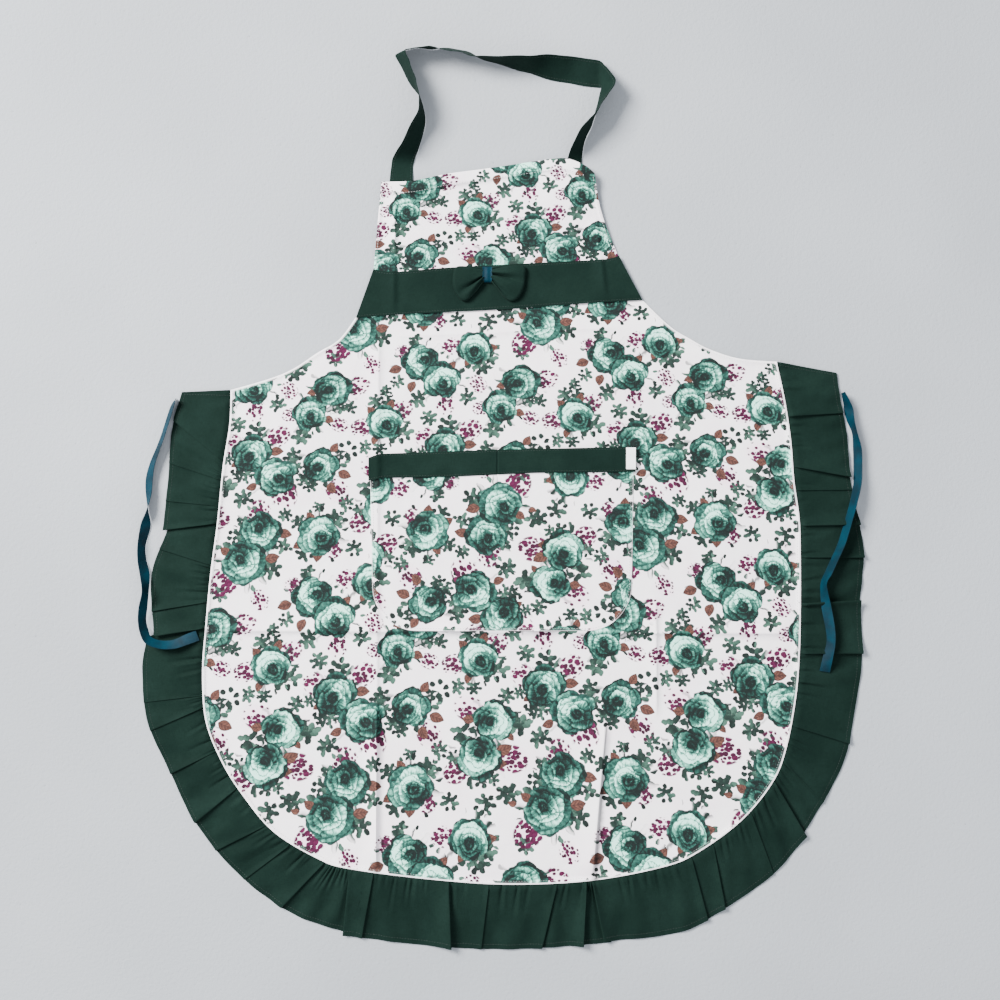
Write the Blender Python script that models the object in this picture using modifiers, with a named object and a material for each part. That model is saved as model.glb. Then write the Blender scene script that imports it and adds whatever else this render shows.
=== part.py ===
"""Ruffled bib apron, lying flat with its front up.

Metres. +Z comes out of the cloth's front, +Y points to the neck strap and +X to the
right of someone who looks at the front. The floor is z = 0, and the origin is on it, at
the middle of the apron's outline.
"""

import math

import bmesh
import bpy
from mathutils import Vector

# Cloth
CLOTH = 0.0008            # one layer with its turned edge
GAP = 0.0003              # air left between pieces that touch
SECOND_LAYER = CLOTH + GAP

# Sewn lines, as points on the floor plan
BAND_SEAM = ((-0.1410, 0.1740), (0.1335, 0.1905))
BAND_TOP = ((-0.1241, 0.2188), (-0.1027, 0.2162), (-0.0490, 0.2205), (0.0298, 0.2246),
            (0.0941, 0.2280), (0.1110, 0.2315))
BIB_LEFT = ((-0.1162, 0.3029), (-0.1190, 0.2760), (-0.1241, 0.2188))
BIB_RIGHT = ((0.1110, 0.2315), (0.0998, 0.2578), (0.0922, 0.2818), (0.0874, 0.3106))
BIB_TOP = ((0.0874, 0.3106), (0.0778, 0.3182), (0.0614, 0.3245), (0.0480, 0.3245),
           (0.0288, 0.3221), (-0.0192, 0.3154), (-0.0547, 0.3106), (-0.0874, 0.3036),
           (-0.1162, 0.3029))
ARMHOLE_LEFT = ((-0.1410, 0.1740), (-0.1574, 0.1522), (-0.1776, 0.1397),
                (-0.2006, 0.1243), (-0.2237, 0.1147), (-0.2610, 0.1040))
ARMHOLE_RIGHT = ((0.1335, 0.1905), (0.1600, 0.1650), (0.1805, 0.1522),
                 (0.1987, 0.1426), (0.2266, 0.1339), (0.2620, 0.1310))

# The seam between the body panel and the frill, from the left wing round to the right
FRILL_SEAM = (
    (-0.261, 0.104), (-0.262, 0.071), (-0.268, 0.031), (-0.274, -0.024),
    (-0.280, -0.070), (-0.285, -0.124), (-0.288, -0.165), (-0.285, -0.212),
    (-0.270, -0.251), (-0.250, -0.283), (-0.220, -0.319), (-0.178, -0.345),
    (-0.147, -0.355), (-0.058, -0.366), (0.010, -0.370), (0.085, -0.366),
    (0.154, -0.353), (0.187, -0.339), (0.229, -0.308), (0.259, -0.270),
    (0.272, -0.235), (0.281, -0.187), (0.284, -0.145), (0.285, -0.100),
    (0.285, -0.057), (0.284, -0.020), (0.279, 0.017), (0.276, 0.054),
    (0.270, 0.094), (0.262, 0.131),
)

# Each length of the frill: its first point on the seam, its gathers, and its free hem
FRILL_LENGTHS = {
    "frill_left_upper": (0, 3, (
        (-0.3080, 0.1020), (-0.3175, 0.0660), (-0.3210, 0.0220), (-0.3260, -0.0305))),
    "frill_left_lower": (3, 3, (
        (-0.3226, -0.0320), (-0.3375, -0.0760), (-0.3340, -0.1320))),
    "frill_lower_left": (5, 8, (
        (-0.3430, -0.1405), (-0.3460, -0.1665), (-0.3410, -0.2140), (-0.3190, -0.2630),
        (-0.2950, -0.3110), (-0.2525, -0.3615), (-0.2025, -0.3980), (-0.1545, -0.4150))),
    "frill_bottom": (12, 7, (
        (-0.1536, -0.4190), (-0.0605, -0.4300), (0.0170, -0.4320), (0.0960, -0.4265))),
    "frill_lower_right": (15, 6, (
        (0.0970, -0.4250), (0.1700, -0.4160), (0.2130, -0.3930), (0.2580, -0.3615),
        (0.2910, -0.3240))),
    "frill_right_lower": (19, 6, (
        (0.2900, -0.3190), (0.3255, -0.2560), (0.3390, -0.1935), (0.3445, -0.1500),
        (0.3425, -0.0975))),
    "frill_right_upper": (23, 7, (
        (0.3425, -0.0965), (0.3460, -0.0515), (0.3410, -0.0205), (0.3330, 0.0195),
        (0.3300, 0.0600), (0.3235, 0.0945), (0.3200, 0.1205))),
}
FRILL_WAVE = 0.0012       # how far a gather rises and falls about its middle
FRILL_STEPS = 7           # samples along each stretch between two seam points
FRILL_ROWS = 4            # samples from the seam to the hem

# Pocket, sewn on the body panel along its sides and its curved bottom
POCKET_BAND_TOP = ((-0.1286, 0.0389), (-0.1181, 0.0427), (-0.0048, 0.0466), (0.1267, 0.0494))
POCKET_BAND_BOTTOM = ((0.1267, 0.0254), (0.0307, 0.0245), (-0.0528, 0.0206),
                      (-0.1152, 0.0197), (-0.1286, 0.0168))
POCKET_BOTTOM = -0.1265
POCKET_CORNER = 0.043
POCKET_BAND_THICKNESS = 0.0012
LABEL_CORNERS = ((0.1181, 0.0285), (0.1262, 0.0285), (0.1262, 0.0482), (0.1181, 0.0482))
LABEL_THICKNESS = 0.0004

# Bow, sewn at the top edge of the chest band by its knot
BOW_LOOP_LEFT = ((-0.0218, 0.2170), (-0.0450, 0.2155), (-0.0475, 0.2040), (-0.0390, 0.1910),
                 (-0.0318, 0.1915), (-0.0218, 0.2040))
BOW_LOOP_RIGHT = ((-0.0082, 0.2045), (-0.0005, 0.1940), (0.0085, 0.1905), (0.0170, 0.1975),
                  (0.0195, 0.2070), (0.0190, 0.2175), (-0.0082, 0.2175))
BOW_ROUNDING = 0.0016     # it also widens the loops by this much
BOW_FLAT = 0.0008
KNOT_CENTRE = (-0.0150, 0.2130)
KNOT_SIZE = (0.0094, 0.0200, 0.0072)
KNOT_ROUNDING = 0.0022

# Ribbons: half thickness, and rows of (x, y, share of the full width, lean in degrees)
STRAP_WIDTH = 0.025
STRAP_HALF_THICKNESS = 0.0006
STRAP_STEPS = 6           # samples between two rows
STRAP_ROWS = (
    (-0.0980, 0.3060, 0.85, 0), (-0.0960, 0.3230, 0.85, 24), (-0.0890, 0.3370, 1.0, 48),
    (-0.0825, 0.3510, 1.0, 63), (-0.0775, 0.3645, 1.0, 77), (-0.0795, 0.3845, 1.0, 90),
    (-0.0845, 0.3970, 1.0, 102), (-0.0915, 0.4100, 1.0, 106), (-0.0975, 0.4185, 1.0, 96),
    (-0.1005, 0.4240, 1.0, 90), (-0.0965, 0.4272, 1.0, 90), (-0.0880, 0.4280, 1.0, 98),
    (-0.0780, 0.4285, 1.0, 107), (-0.0690, 0.4287, 1.0, 100), (-0.0509, 0.4267, 1.0, 113),
    (-0.0307, 0.4219, 1.0, 110), (-0.0106, 0.4174, 1.0, 92), (0.0163, 0.4138, 1.0, 73),
    (0.0403, 0.4118, 1.0, 52), (0.0662, 0.4097, 1.0, 42), (0.0835, 0.4075, 1.0, 52),
    (0.0955, 0.4025, 1.0, 68), (0.1001, 0.3935, 1.0, 80), (0.0953, 0.3820, 1.0, 86),
    (0.0883, 0.3662, 1.0, 92), (0.0765, 0.3490, 1.0, 106), (0.0702, 0.3350, 0.8, 134),
    (0.0680, 0.3262, 0.56, 165),
)

# Waist ties: rows of (x, y, height of the lower edge, lean in degrees)
TIE_WIDTH = 0.010
TIE_HALF_THICKNESS = 0.0004
TIE_STEPS = 3
OVER_FRILL = 0.0047
TIE_LEFT_ROWS = (
    (-0.3130, 0.0955, 0, 80), (-0.3170, 0.0869, 0, 60), (-0.3250, 0.0619, 0, 58),
    (-0.3295, 0.0494, 0, 56), (-0.3360, 0.0322, 0, 48), (-0.3389, 0.0178, 0, 40),
    (-0.3394, 0.0034, 0, 48), (-0.3404, -0.0130, 0, 90), (-0.3422, -0.0254, 0, 144),
    (-0.3459, -0.0446, 0, 125), (-0.3456, -0.0590, 0, 130), (-0.3425, -0.0734, 0.002, 140),
    (-0.3410, -0.0888, OVER_FRILL, 115), (-0.3440, -0.1042, 0.0025, 129),
    (-0.3451, -0.1166, 0.0015, 125), (-0.3427, -0.1272, 0.003, 130),
    (-0.3379, -0.1354, OVER_FRILL, 130), (-0.3266, -0.1395, OVER_FRILL, 134),
    (-0.3139, -0.1392, OVER_FRILL, 145), (-0.3024, -0.1349, OVER_FRILL, 165),
    (-0.2920, -0.1310, OVER_FRILL, 180),
)
TIE_RIGHT_ROWS = (
    (0.3250, 0.1013, 0, 84), (0.3290, 0.0905, 0, 62), (0.3308, 0.0840, 0, 46),
    (0.3325, 0.0744, 0, 60), (0.3360, 0.0629, 0, 76), (0.3389, 0.0475, 0, 52),
    (0.3394, 0.0322, 0, 50), (0.3384, 0.0149, 0.0025, 55), (0.3345, -0.0014, OVER_FRILL, 50),
    (0.3293, -0.0206, OVER_FRILL, 52), (0.3226, -0.0427, OVER_FRILL, 50),
    (0.3154, -0.0590, OVER_FRILL, 54), (0.3101, -0.0706, OVER_FRILL, 54),
    (0.3057, -0.0792, OVER_FRILL, 70), (0.3056, -0.0878, OVER_FRILL, 50),
    (0.3086, -0.1051, OVER_FRILL, 20), (0.3120, -0.1243, OVER_FRILL, 42),
    (0.3125, -0.1378, OVER_FRILL, 48), (0.3101, -0.1502, OVER_FRILL, 20),
    (0.3075, -0.1656, OVER_FRILL, 0),
)

# Colours
FLORAL_WHITE = (0.78, 0.74, 0.76)
BOTTLE_GREEN = (0.016, 0.047, 0.036)
TEAL_BLUE = (0.012, 0.105, 0.165)
LABEL_WHITE = (0.86, 0.86, 0.85)


def start_collection():
    """An empty scene with one collection for the apron."""
    for old in list(bpy.data.objects):
        bpy.data.objects.remove(old, do_unlink=True)
    apron = bpy.data.collections.new("ruffled_apron")
    bpy.context.scene.collection.children.link(apron)
    return apron


def cloth_material(name, colour, roughness):
    material = bpy.data.materials.new(name)
    material.use_nodes = True
    shader = material.node_tree.nodes["Principled BSDF"]
    shader.inputs["Base Color"].default_value = (*colour, 1.0)
    shader.inputs["Roughness"].default_value = roughness
    shader.inputs["Metallic"].default_value = 0.0
    return material


def add_object(collection, name, data, material):
    made = bpy.data.objects.new(name, data)
    made.data.materials.append(material)
    collection.objects.link(made)
    return made


def on_curve(rows, place):
    """The value at a place counted in rows, on a smooth curve through all of them."""
    first = min(int(place), len(rows) - 2)
    t = place - first
    before = rows[max(first - 1, 0)]
    after = rows[min(first + 2, len(rows) - 1)]
    value = []
    for a, b, c, d in zip(before, rows[first], rows[first + 1], after):
        bend = (2 * b) + (c - a) * t + (2 * a - 5 * b + 4 * c - d) * t**2
        value.append(0.5 * (bend + (3 * b - a - 3 * c + d) * t**3))
    return tuple(value)


def smooth(rows, steps):
    """A smooth curve through the rows, with a number of steps between two of them."""
    count = (len(rows) - 1) * steps
    return [on_curve(rows, i / steps) for i in range(count + 1)]


def moved(points, x, y):
    return [(point[0] + x, point[1] + y) for point in points]


def arc(centre, radius, start, end, steps=8):
    """Points round a corner, between two angles in degrees."""
    angles = [math.radians(start + (end - start) * i / steps) for i in range(steps + 1)]
    return [(centre[0] + radius * math.cos(a), centre[1] + radius * math.sin(a)) for a in angles]


def plate(collection, name, outline, bottom, thickness, material, rounding=0.0):
    """A flat piece: a filled outline, given its thickness, with a rounded rim if wanted."""
    curve = bpy.data.curves.new(name, "CURVE")
    curve.dimensions = "2D"
    curve.fill_mode = "BOTH"
    curve.extrude = thickness / 2 - rounding
    curve.bevel_depth = rounding
    curve.bevel_resolution = 1
    curve.render_resolution_u = 0
    spline = curve.splines.new("POLY")
    spline.points.add(len(outline) - 1)
    for point, (x, y) in zip(spline.points, outline):
        point.co = (x, y, 0, 1)
    spline.use_cyclic_u = True
    made = add_object(collection, name, curve, material)
    made.location.z = bottom + thickness / 2
    return made


def ribbon(collection, name, samples, width, half_thickness, material):
    """A flat strip that leans as it goes. A sample is (x, y, lower edge, share, lean)."""
    curve = bpy.data.curves.new(name, "CURVE")
    curve.dimensions = "3D"
    curve.twist_mode = "Z_UP"
    curve.use_fill_caps = True
    curve.extrude = width / 2 - half_thickness
    curve.bevel_depth = half_thickness
    curve.bevel_resolution = 0
    curve.render_resolution_u = 0
    spline = curve.splines.new("POLY")
    spline.points.add(len(samples) - 1)
    for point, (x, y, lower_edge, share, lean) in zip(spline.points, samples):
        rise = curve.extrude * share * abs(math.sin(math.radians(lean)))
        point.co = (x, y, max(lower_edge, 0) + rise + half_thickness, 1)
        point.radius = share
        point.tilt = math.radians(90 - lean)
    return add_object(collection, name, curve, material)


def frill_height(along, across, gathers):
    """Height of the frill's underside, flat at the seam and waved at the hem."""
    wave = math.sin(2 * math.pi * gathers * along) + 0.5 * math.sin(6.1 * gathers * along + 1.0)
    return FRILL_WAVE * across**0.7 * (1.5 + wave)


def frill(collection, name, first, gathers, hem, material):
    """One gathered length of the frill, from its seam to its hem, as a thickened sheet."""
    stretches = len(hem) - 1
    steps = stretches * FRILL_STEPS
    sheet = bmesh.new()
    columns = []
    for i in range(steps + 1):
        share = i / steps
        trim = 0.004 * (0.5 - share)
        place = share * stretches + trim
        seam_point = Vector(on_curve(FRILL_SEAM, first + place))
        hem_point = Vector(on_curve(hem, place))
        start = 0.0006 / (hem_point - seam_point).length
        column = []
        for row in range(FRILL_ROWS + 1):
            across = start + (1 - start) * row / FRILL_ROWS
            x, y = seam_point.lerp(hem_point, across)
            column.append(sheet.verts.new((x, y, frill_height(share, across, gathers))))
        columns.append(column)
    for near, far in zip(columns, columns[1:]):
        for row in range(FRILL_ROWS):
            sheet.faces.new((near[row], near[row + 1], far[row + 1], far[row]))
    mesh = bpy.data.meshes.new(name)
    sheet.to_mesh(mesh)
    sheet.free()
    made = add_object(collection, name, mesh, material)
    shell = made.modifiers.new("thickness", "SOLIDIFY")
    shell.thickness = CLOTH
    shell.offset = 1
    return made


def body_panel_outline():
    """Band seam, right armhole, frill seam and left armhole, in that order."""
    seam = smooth(FRILL_SEAM, FRILL_STEPS)
    outline = moved(BAND_SEAM, 0, -GAP)
    outline += moved(smooth(ARMHOLE_RIGHT, 4)[1:-1], 0, -GAP)
    outline += list(reversed(seam))
    outline += moved(list(reversed(smooth(ARMHOLE_LEFT, 4)))[1:-1], 0, -GAP)
    return outline


def bib_outline():
    lower_edge = moved(BAND_TOP, 0, GAP)
    right = smooth(BIB_RIGHT, 4)[1:-1]
    top = smooth(BIB_TOP, 3)
    left = smooth(BIB_LEFT, 4)[1:-1]
    return lower_edge + right + top + left


def pocket_outline():
    """The pocket below its band: straight sides and round lower corners."""
    top = moved(list(reversed(POCKET_BAND_BOTTOM)), 0, -GAP)
    left, right = top[0][0] + 0.0015, top[-1][0] - 0.0015
    corner_y = POCKET_BOTTOM + POCKET_CORNER
    right_corner = arc((right - POCKET_CORNER, corner_y), POCKET_CORNER, 0, -90)
    left_corner = arc((left + POCKET_CORNER, corner_y), POCKET_CORNER, 270, 180)
    return top + right_corner + left_corner


def knot(collection, material):
    """The short turn of ribbon round the middle of the bow."""
    block = bmesh.new()
    bmesh.ops.create_cube(block, size=1.0)
    bmesh.ops.scale(block, vec=KNOT_SIZE, verts=block.verts)
    mesh = bpy.data.meshes.new("bow_knot")
    block.to_mesh(mesh)
    block.free()
    made = add_object(collection, "bow_knot", mesh, material)
    made.location = (*KNOT_CENTRE, SECOND_LAYER + KNOT_SIZE[2] / 2)
    rim = made.modifiers.new("rounded", "BEVEL")
    rim.width = KNOT_ROUNDING
    rim.segments = 2
    return made


def build():
    apron = start_collection()
    floral = cloth_material("floral_cloth", FLORAL_WHITE, 0.85)
    green = cloth_material("green_cloth", BOTTLE_GREEN, 0.70)
    blue = cloth_material("blue_ribbon", TEAL_BLUE, 0.60)
    label = cloth_material("label_tape", LABEL_WHITE, 0.80)

    plate(apron, "body_panel", body_panel_outline(), 0, CLOTH, floral)
    plate(apron, "bib_panel", bib_outline(), 0, CLOTH, floral)
    band = list(BAND_SEAM) + list(reversed(BAND_TOP))
    plate(apron, "chest_band", band, 0, CLOTH, green)
    for name, (first, gathers, hem) in FRILL_LENGTHS.items():
        frill(apron, name, first, gathers, hem, green)

    plate(apron, "pocket_panel", pocket_outline(), SECOND_LAYER, CLOTH, floral)
    pocket_band = list(POCKET_BAND_TOP) + list(POCKET_BAND_BOTTOM)
    plate(apron, "pocket_band", pocket_band, SECOND_LAYER, POCKET_BAND_THICKNESS, green)
    label_bottom = SECOND_LAYER + POCKET_BAND_THICKNESS + GAP
    plate(apron, "pocket_label", LABEL_CORNERS, label_bottom, LABEL_THICKNESS, label)

    loop_thickness = 2 * (BOW_ROUNDING + BOW_FLAT)
    for name, loop in (("bow_loop_left", BOW_LOOP_LEFT), ("bow_loop_right", BOW_LOOP_RIGHT)):
        plate(apron, name, loop, SECOND_LAYER, loop_thickness, green, BOW_ROUNDING)
    knot(apron, blue)

    strap = [(x, y, 0, share, lean) for x, y, share, lean in smooth(STRAP_ROWS, STRAP_STEPS)]
    ribbon(apron, "neck_strap", strap, STRAP_WIDTH, STRAP_HALF_THICKNESS, green)
    for name, rows in (("waist_tie_left", TIE_LEFT_ROWS), ("waist_tie_right", TIE_RIGHT_ROWS)):
        tie = [(x, y, lift, 1, lean) for x, y, lift, lean in smooth(rows, TIE_STEPS)]
        ribbon(apron, name, tie, TIE_WIDTH, TIE_HALF_THICKNESS, blue)


build()
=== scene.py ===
"""The looks of the frilled bib apron: its printed cloth, frill, ribbons, bow, label and stitches.

Everything is in metres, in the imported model's frame: +X right, +Y up the apron, +Z off the floor.
"""

import math

import bpy
import numpy as np
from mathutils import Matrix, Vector
from mathutils.bvhtree import BVHTree
from mathutils.geometry import delaunay_2d_cdt


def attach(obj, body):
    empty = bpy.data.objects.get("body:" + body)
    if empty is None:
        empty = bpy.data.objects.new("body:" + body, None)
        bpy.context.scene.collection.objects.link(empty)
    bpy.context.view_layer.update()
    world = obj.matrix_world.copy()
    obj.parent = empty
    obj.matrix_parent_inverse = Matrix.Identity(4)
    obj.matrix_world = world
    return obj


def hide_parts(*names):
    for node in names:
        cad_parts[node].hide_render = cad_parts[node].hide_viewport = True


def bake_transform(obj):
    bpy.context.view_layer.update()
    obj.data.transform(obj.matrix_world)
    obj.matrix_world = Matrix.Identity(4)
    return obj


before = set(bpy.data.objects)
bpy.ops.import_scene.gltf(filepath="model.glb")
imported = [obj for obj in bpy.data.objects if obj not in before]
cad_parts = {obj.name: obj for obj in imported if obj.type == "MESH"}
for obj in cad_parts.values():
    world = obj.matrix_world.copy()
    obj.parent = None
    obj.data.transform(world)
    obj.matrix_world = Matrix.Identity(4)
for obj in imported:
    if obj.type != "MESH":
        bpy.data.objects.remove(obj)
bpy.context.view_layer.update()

# Cloth layers
CLOTH = 0.0006             # thickness of the printed cloth as shown
GREEN_CLOTH = 0.0005

# Spacing of points along a piece's edge, and along a line that distances are taken from
EDGE_STEP = 0.003
FINE_STEP = 0.0006

# Design points of the apron, the same as in the solids
BAND_SEAM = ((-0.1410, 0.1740), (0.1335, 0.1905))
BAND_TOP = (
    (-0.1241, 0.2188), (-0.1027, 0.2162), (-0.0490, 0.2205), (0.0298, 0.2246),
    (0.0941, 0.2280), (0.1110, 0.2315),
)
BIB_LEFT = ((-0.1162, 0.3029), (-0.1190, 0.2760), (-0.1241, 0.2188))
BIB_RIGHT = ((0.1110, 0.2315), (0.0998, 0.2578), (0.0922, 0.2818), (0.0874, 0.3106))
BIB_TOP = (
    (0.0874, 0.3106), (0.0778, 0.3182), (0.0614, 0.3245), (0.0480, 0.3245), (0.0288, 0.3221),
    (-0.0192, 0.3154), (-0.0547, 0.3106), (-0.0874, 0.3036), (-0.1162, 0.3029),
)
ARMHOLE_LEFT = (
    (-0.1410, 0.1740), (-0.1574, 0.1522), (-0.1776, 0.1397), (-0.2006, 0.1243),
    (-0.2237, 0.1147), (-0.2610, 0.1040),
)
ARMHOLE_RIGHT = (
    (0.1335, 0.1905), (0.1600, 0.1650), (0.1805, 0.1522), (0.1987, 0.1426),
    (0.2266, 0.1339), (0.2620, 0.1310),
)
FRILL_SEAM = (
    (-0.261, 0.104), (-0.262, 0.071), (-0.268, 0.031), (-0.274, -0.024), (-0.280, -0.070),
    (-0.285, -0.124), (-0.288, -0.165), (-0.285, -0.212), (-0.270, -0.251), (-0.250, -0.283),
    (-0.220, -0.319), (-0.178, -0.345), (-0.147, -0.355), (-0.058, -0.366), (0.010, -0.370),
    (0.085, -0.366), (0.154, -0.353), (0.187, -0.339), (0.229, -0.308), (0.259, -0.270),
    (0.272, -0.235), (0.281, -0.187), (0.284, -0.145), (0.285, -0.100), (0.285, -0.057),
    (0.284, -0.020), (0.279, 0.017), (0.276, 0.054), (0.270, 0.094), (0.262, 0.131),
)

# The print. Its repeat, and motif places in one repeat, in millimetres of flat cloth
REPEAT_ACROSS = (0.2035, 0.0077)
REPEAT_DOWN = (0.1018, -0.2515)
BACK_ROSES = (          # x, y, radius, turn in degrees, tone
    (-212, -220, 17.0, 200, 0.1), (-163, -187, 18.0, 250, -0.5), (-192, -89, 17.5, 30, -0.2),
    (-105, -141, 16.0, 300, 0.2), (-147, -273, 18.5, 120, -0.1), (-228, -159, 16.5, 320, 0.6),
    (-89, -200, 16.5, 220, 0.0), (-88, -276, 18.5, 330, 0.5),
)
FRONT_ROSES = (
    (-226, -256, 18.0, 100, -0.2), (-136, -212, 18.0, 340, 0.4), (-169, -110, 18.0, 300, 0.4),
    (-82, -113, 17.5, 210, -0.6), (-161, -305, 19.5, 150, 0.5), (-31, -324, 16.5, 280, 0.1),
)
LEAVES = (              # x, y, length
    (-237, -219, 4.8), (-202, -248, 6.2), (-207, -261, 5.8), (-137, -184, 5.8), (-160, -224, 4.8),
    (-64, -210, 5.8), (-77, -225, 5.3), (-76, -180, 4.8), (-182, -293, 4.8), (-122, -274, 5.8),
    (-133, -300, 5.8), (-97, -256, 4.8), (-107, -286, 5.3), (-87, -297, 5.8), (-84, -148, 4.8),
    (-104, -117, 4.3), (-201, -118, 5.3), (-219, -98, 5.8), (-158, -94, 5.3), (-243, -146, 4.8),
    (-222, -139, 4.8), (-238, -179, 4.3), (-180, -199, 3.4), (-195, -299, 3.4), (-196, -236, 3.4),
    (-43, -327, 4.8), (-13, -324, 5.8), (-39, -341, 3.8),
)
SPRIGS = (              # x, y, radius
    (-242, -232, 8.6), (-187, -223, 9.4), (-248, -187, 5.8), (-232, -188, 5.8), (-200, -196, 6.2),
    (-187, -193, 4.8), (-238, -136, 6.7), (-227, -134, 6.7), (-209, -171, 8.6), (-174, -211, 6.2),
    (-165, -212, 6.2), (-120, -190, 7.7), (-116, -202, 5.8), (-160, -163, 8.6), (-140, -131, 6.7),
    (-181, -154, 6.7), (-112, -166, 8.6), (-192, -132, 7.7), (-216, -112, 5.8), (-229, -123, 5.8),
    (-276, -141, 6.7), (-267, -142, 6.7), (-106, -213, 6.2), (-99, -221, 6.2), (-63, -184, 8.6),
    (-168, -237, 7.7), (-123, -254, 5.8), (-89, -245, 4.8), (-108, -262, 6.7), (-71, -259, 8.6),
    (-164, -265, 7.7), (-172, -276, 6.7), (-199, -289, 8.6), (-221, -300, 7.7), (-122, -288, 6.7),
    (-100, -294, 7.7), (-134, -311, 8.6), (-223, -275, 6.7), (-214, -275, 5.8), (-264, -248, 5.8),
    (-250, -256, 5.8), (-183, -337, 6.7), (-96, -314, 5.8), (-61, -243, 5.8), (-50, -290, 6.7),
    (-23, -345, 8.6), (-16, -336, 7.7),
)
BERRIES = (
    (-259, -117, 9.6), (-210, -145, 8.6), (-252, -165, 8.6), (-276, -162, 6.7), (-164, -138, 8.6),
    (-129, -115, 7.7), (-125, -143, 6.7), (-137, -168, 9.6), (-182, -177, 9.6), (-236, -209, 10.6),
    (-196, -257, 11.5), (-247, -269, 9.6), (-126, -231, 11.5), (-150, -253, 10.6), (-71, -227, 9.6),
    (-74, -289, 8.6), (-179, -325, 11.5), (-55, -322, 8.6), (-142, -344, 7.7), (-108, -330, 7.7),
)
PRINT_SHRINK = 0.334       # how fast the print closes up towards the top of the apron, per metre
PRINT_LEVEL = -0.232       # where it has its full scale
# Each layer of the print, and how much larger its motifs are than in the rows above
PRINT_LAYERS = {
    "rose_back": (BACK_ROSES, 1.22), "rose_front": (FRONT_ROSES, 1.22), "leaf": (LEAVES, 1.35),
    "sprig": (SPRIGS, 1.32), "berry": (BERRIES, 1.50),
}


# ---- Curves and outlines ----

def on_curve(rows, place):
    """The value at a place counted in rows, on a smooth curve through all of them."""
    first = min(int(place), len(rows) - 2)
    t = place - first
    before = rows[max(first - 1, 0)]
    after = rows[min(first + 2, len(rows) - 1)]
    value = []
    for a, b, c, d in zip(before, rows[first], rows[first + 1], after):
        bend = (2 * b) + (c - a) * t + (2 * a - 5 * b + 4 * c - d) * t**2
        value.append(0.5 * (bend + (3 * b - a - 3 * c + d) * t**3))
    return tuple(value)


def smooth(rows, steps):
    """A smooth curve through the rows, with a number of steps between two of them."""
    count = (len(rows) - 1) * steps
    return [on_curve(rows, i / steps) for i in range(count + 1)]


def resampled(points, spacing):
    """The same line with evenly spaced points."""
    line = np.asarray(points, float)
    runs = np.linalg.norm(np.diff(line, axis=0), axis=1)
    place = np.concatenate([[0], np.cumsum(runs)])
    count = max(int(round(place[-1] / spacing)), 1)
    at = np.linspace(0, place[-1], count + 1)
    return np.stack([np.interp(at, place, line[:, k]) for k in range(line.shape[1])], axis=1)


def even(rows, spacing=EDGE_STEP, steps=8):
    """A smooth curve through the rows, with evenly spaced points."""
    return resampled(smooth(rows, steps), spacing)


def inside(points, outline):
    """Which points lie inside a closed outline."""
    x, y = points[:, 0], points[:, 1]
    hit = np.zeros(len(points), bool)
    for (x1, y1), (x2, y2) in zip(outline, np.roll(outline, -1, axis=0)):
        if y1 == y2:
            continue
        crosses = (y1 > y) != (y2 > y)
        hit ^= crosses & (x < (x2 - x1) * (y - y1) / (y2 - y1) + x1)
    return hit


def distance_to(points, line):
    """Distance of each point to the nearest point of a finely sampled line."""
    nearest = np.full(len(points), 1e9)
    for start in range(0, len(line), 64):
        part = line[start:start + 64]
        gap = np.linalg.norm(points[:, None, :] - part[None, :, :], axis=2).min(axis=1)
        nearest = np.minimum(nearest, gap)
    return nearest


def filled(outline, spacing, lines):
    """Points and triangles that fill an outline, with rows of points kept on the given lines."""
    low, high = outline.min(axis=0), outline.max(axis=0)
    rise = spacing * math.sqrt(3) / 2
    rows = []
    for row, y in enumerate(np.arange(low[1], high[1], rise)):
        xs = np.arange(low[0] + (row % 2) * spacing / 2, high[0], spacing)
        rows.append(np.stack([xs, np.full(len(xs), y)], axis=1))
    grid = np.vstack(rows)
    grid = grid[inside(grid, outline)]
    grid = grid[distance_to(grid, outline) > 0.62 * spacing]
    kept = np.vstack(lines)
    kept = kept[inside(kept, outline)]
    kept = kept[distance_to(kept, outline) > 0.0003]
    grid = grid[distance_to(grid, kept) > 0.55 * spacing]
    points = [Vector(p) for p in np.vstack([outline, kept, grid]).tolist()]
    made = delaunay_2d_cdt(points, [], [list(range(len(outline)))], 1, 1e-7)
    return np.array([tuple(p) for p in made[0]]), np.array(made[2], int)


# ---- Meshes ----

def vertex_normals(points, faces):
    normals = np.zeros_like(points)
    a, b, c = points[faces[:, 0]], points[faces[:, 1]], points[faces[:, 2]]
    across = np.cross(b - a, c - a)
    if faces.shape[1] == 4:
        across = across + np.cross(c - a, points[faces[:, 3]] - a)
    for k in range(faces.shape[1]):
        np.add.at(normals, faces[:, k], across)
    return normals / np.maximum(np.linalg.norm(normals, axis=1, keepdims=True), 1e-12)


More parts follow.
